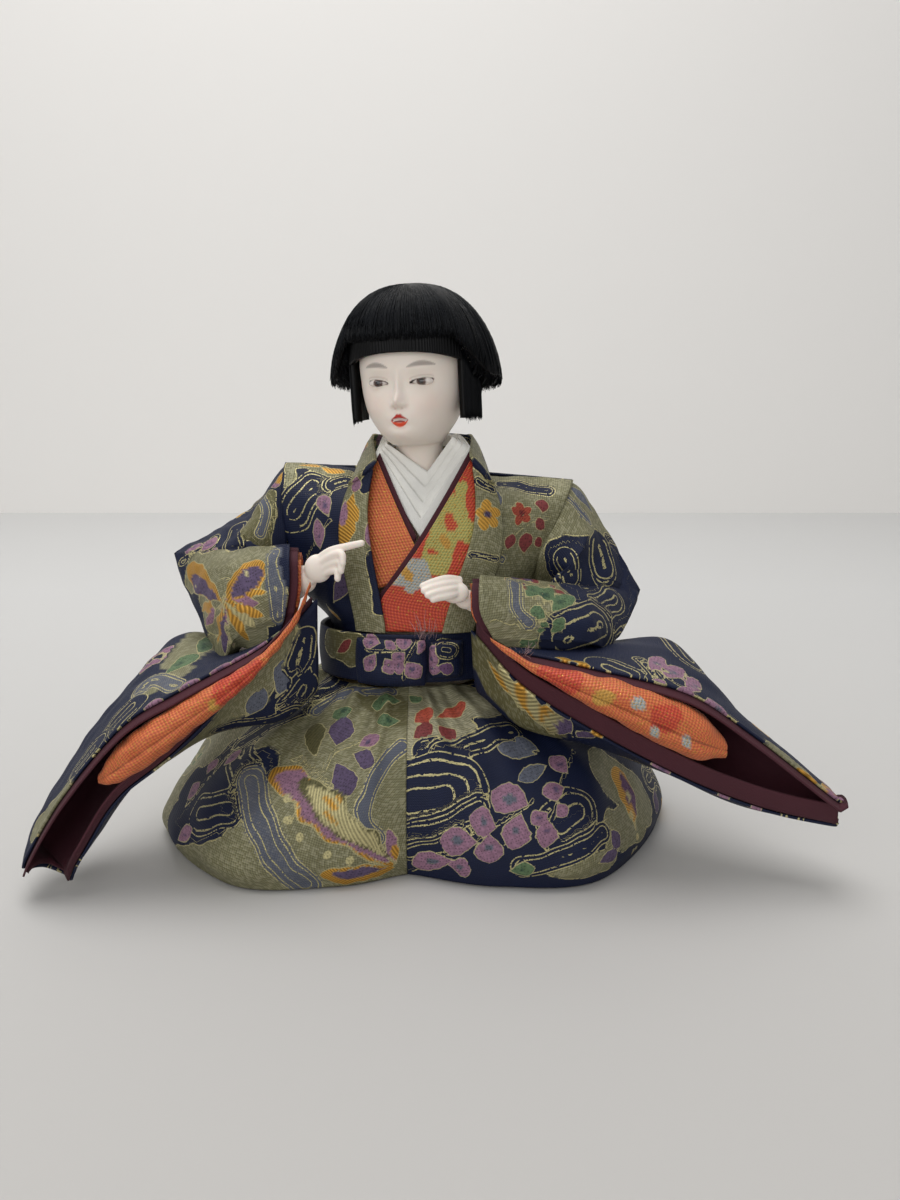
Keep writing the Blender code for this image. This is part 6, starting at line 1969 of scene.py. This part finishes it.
# Each tuft: threads, middle of its roots, their spread, way that the threads go and their length
THREAD_TUFTS = [
    (26, (33.0, -51.0, 74.5), (3.0, 1.0, 1.4), (0.2, -0.4, 1.0), 4.0),
    (24, (2.0, -32.5, 75.5), (3.0, 0.6, 0.8), (0.0, -0.25, 1.0), 7.0),
]
THREAD_RADIUS = 0.06


def build_threads():
    draw = np.random.default_rng(5)
    silk = hair_material("loose_silk", linear(170, 140, 140), 0.5)
    for index, (count, middle, spread, way, long) in enumerate(THREAD_TUFTS):
        roots = np.array(middle) + draw.normal(size=(count, 3)) * np.array(spread) * 0.5
        ways = np.array(way) + draw.normal(size=(count, 3)) * 0.3
        share = np.linspace(0, 1, 6)[None, :, None]
        bend = draw.normal(size=(count, 3)) * 1.2
        reach = long * draw.uniform(0.5, 1.0, count)[:, None, None]
        paths = roots[:, None] + ways[:, None] * share * reach + bend[:, None] * share**2
        tints = draw.random(count)
        piece = strands(f"loose_threads_{index + 1}", paths, np.full(count, THREAD_RADIUS), tints, silk)


# Inner pieces keep their shapes and get their finish


def finish_inner_pieces():
    wood = inner_material("board_wood", linear(178, 140, 95), 6.0, 0.6)
    straw = inner_material("straw_stuffing", linear(190, 165, 110), 2.0, 0.9)
    paper = inner_material("paper_body", linear(222, 214, 196), 3.0, 0.9)
    steel = inner_material("steel_wire", linear(150, 150, 150), 1.0, 0.4, 1.0)
    finishes = {
        wood: ["base_board", "neck_peg"],
        straw: ["leg_stuffing_left", "leg_stuffing_right"],
        paper: ["torso_core", "arm_core_left", "arm_core_right"],
        steel: ["wrist_wire_left", "wrist_wire_right"],
    }
    for material, names in finishes.items():
        for name in names:
            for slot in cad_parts[name].material_slots:
                slot.material = material


# Stage, lights and camera


# The stage, lights and camera are in metres
WALL_Y = 0.705
FLOOR_TOP = 0.0001


def build_stage():
    pale, tree, shader = new_material("pale_backdrop", 0.8)
    place = add_node(tree, "ShaderNodeTexCoord").outputs["Object"]
    place = add_node(tree, "ShaderNodeSeparateXYZ", {0: place})
    # Painted shadow: the floor is darker towards the front, for the soft shadow in front of the doll.
    far = add_node(tree, "ShaderNodeMapRange", {0: place.outputs[1], 1: -0.3, 2: 0.35})
    colour = blend(far.outputs[0], rgba(linear(187, 184, 180)), rgba(linear(205, 204, 202)))
    risen = calc("GREATER_THAN", place.outputs[2], FLOOR_TOP)
    colour = blend(risen, colour, rgba(linear(242, 239, 235)))
    tree.links.new(colour, shader.inputs["Base Color"])
    for name, points in (
        ("floor", [(-3, -2, 0), (3, -2, 0), (3, WALL_Y, 0), (-3, WALL_Y, 0)]),
        ("back_wall", [(-3, WALL_Y, 0), (3, WALL_Y, 0), (3, WALL_Y, 2.5), (-3, WALL_Y, 2.5)]),
    ):
        mesh = bpy.data.meshes.new(name)
        mesh.from_pydata(points, [], [(0, 1, 2, 3)])
        mesh.materials.append(pale)
        plane = bpy.data.objects.new(name, mesh)
        bpy.context.scene.collection.objects.link(plane)


def add_lamp(name, place, target, size, power):
    lamp = bpy.data.lights.new(name, "AREA")
    lamp.size = size
    lamp.energy = power
    holder = bpy.data.objects.new(name, lamp)
    bpy.context.scene.collection.objects.link(holder)
    holder.location = place
    apart = np.array(place) - np.array(target)
    yaw = math.atan2(apart[0], -apart[1])
    pitch = math.atan2(np.hypot(apart[0], apart[1]), apart[2])
    holder.rotation_euler = (pitch, 0, yaw)


def build_lights():
    chest = (0, 0, 0.08)
    add_lamp("ceiling_panel", place=(-0.2, 0.12, 1.3), target=chest, size=0.9, power=11.0)
    add_lamp("front_fill", place=(-0.35, -1.1, 0.5), target=chest, size=0.9, power=4.1)
    world = bpy.data.worlds.new("soft_room")
    bpy.context.scene.world = world
    world.use_nodes = True
    background = world.node_tree.nodes["Background"]
    background.inputs[0].default_value = rgba(linear(236, 238, 240))
    background.inputs[1].default_value = 0.5
    bpy.context.scene.view_settings.view_transform = "Standard"


def build_camera():
    camera = bpy.data.cameras.new("photo_camera")
    camera.sensor_fit = "VERTICAL"
    camera.sensor_height = 36.0
    camera.lens = 30.0
    camera.clip_start = 0.01
    holder = bpy.data.objects.new("photo_camera", camera)
    bpy.context.scene.collection.objects.link(holder)
    holder.location = EYE_POINT * MM
    holder.rotation_euler = (math.pi / 2 - LOOK_DOWN, 0, 0)
    bpy.context.scene.camera = holder


build_camera()
build_lights()
build_stage()
skin = build_head()
build_hair()
build_hands(skin)
build_collars()
build_robe()
build_sleeves()
build_legs()
build_belt()
build_bow()
build_threads()
finish_inner_pieces()
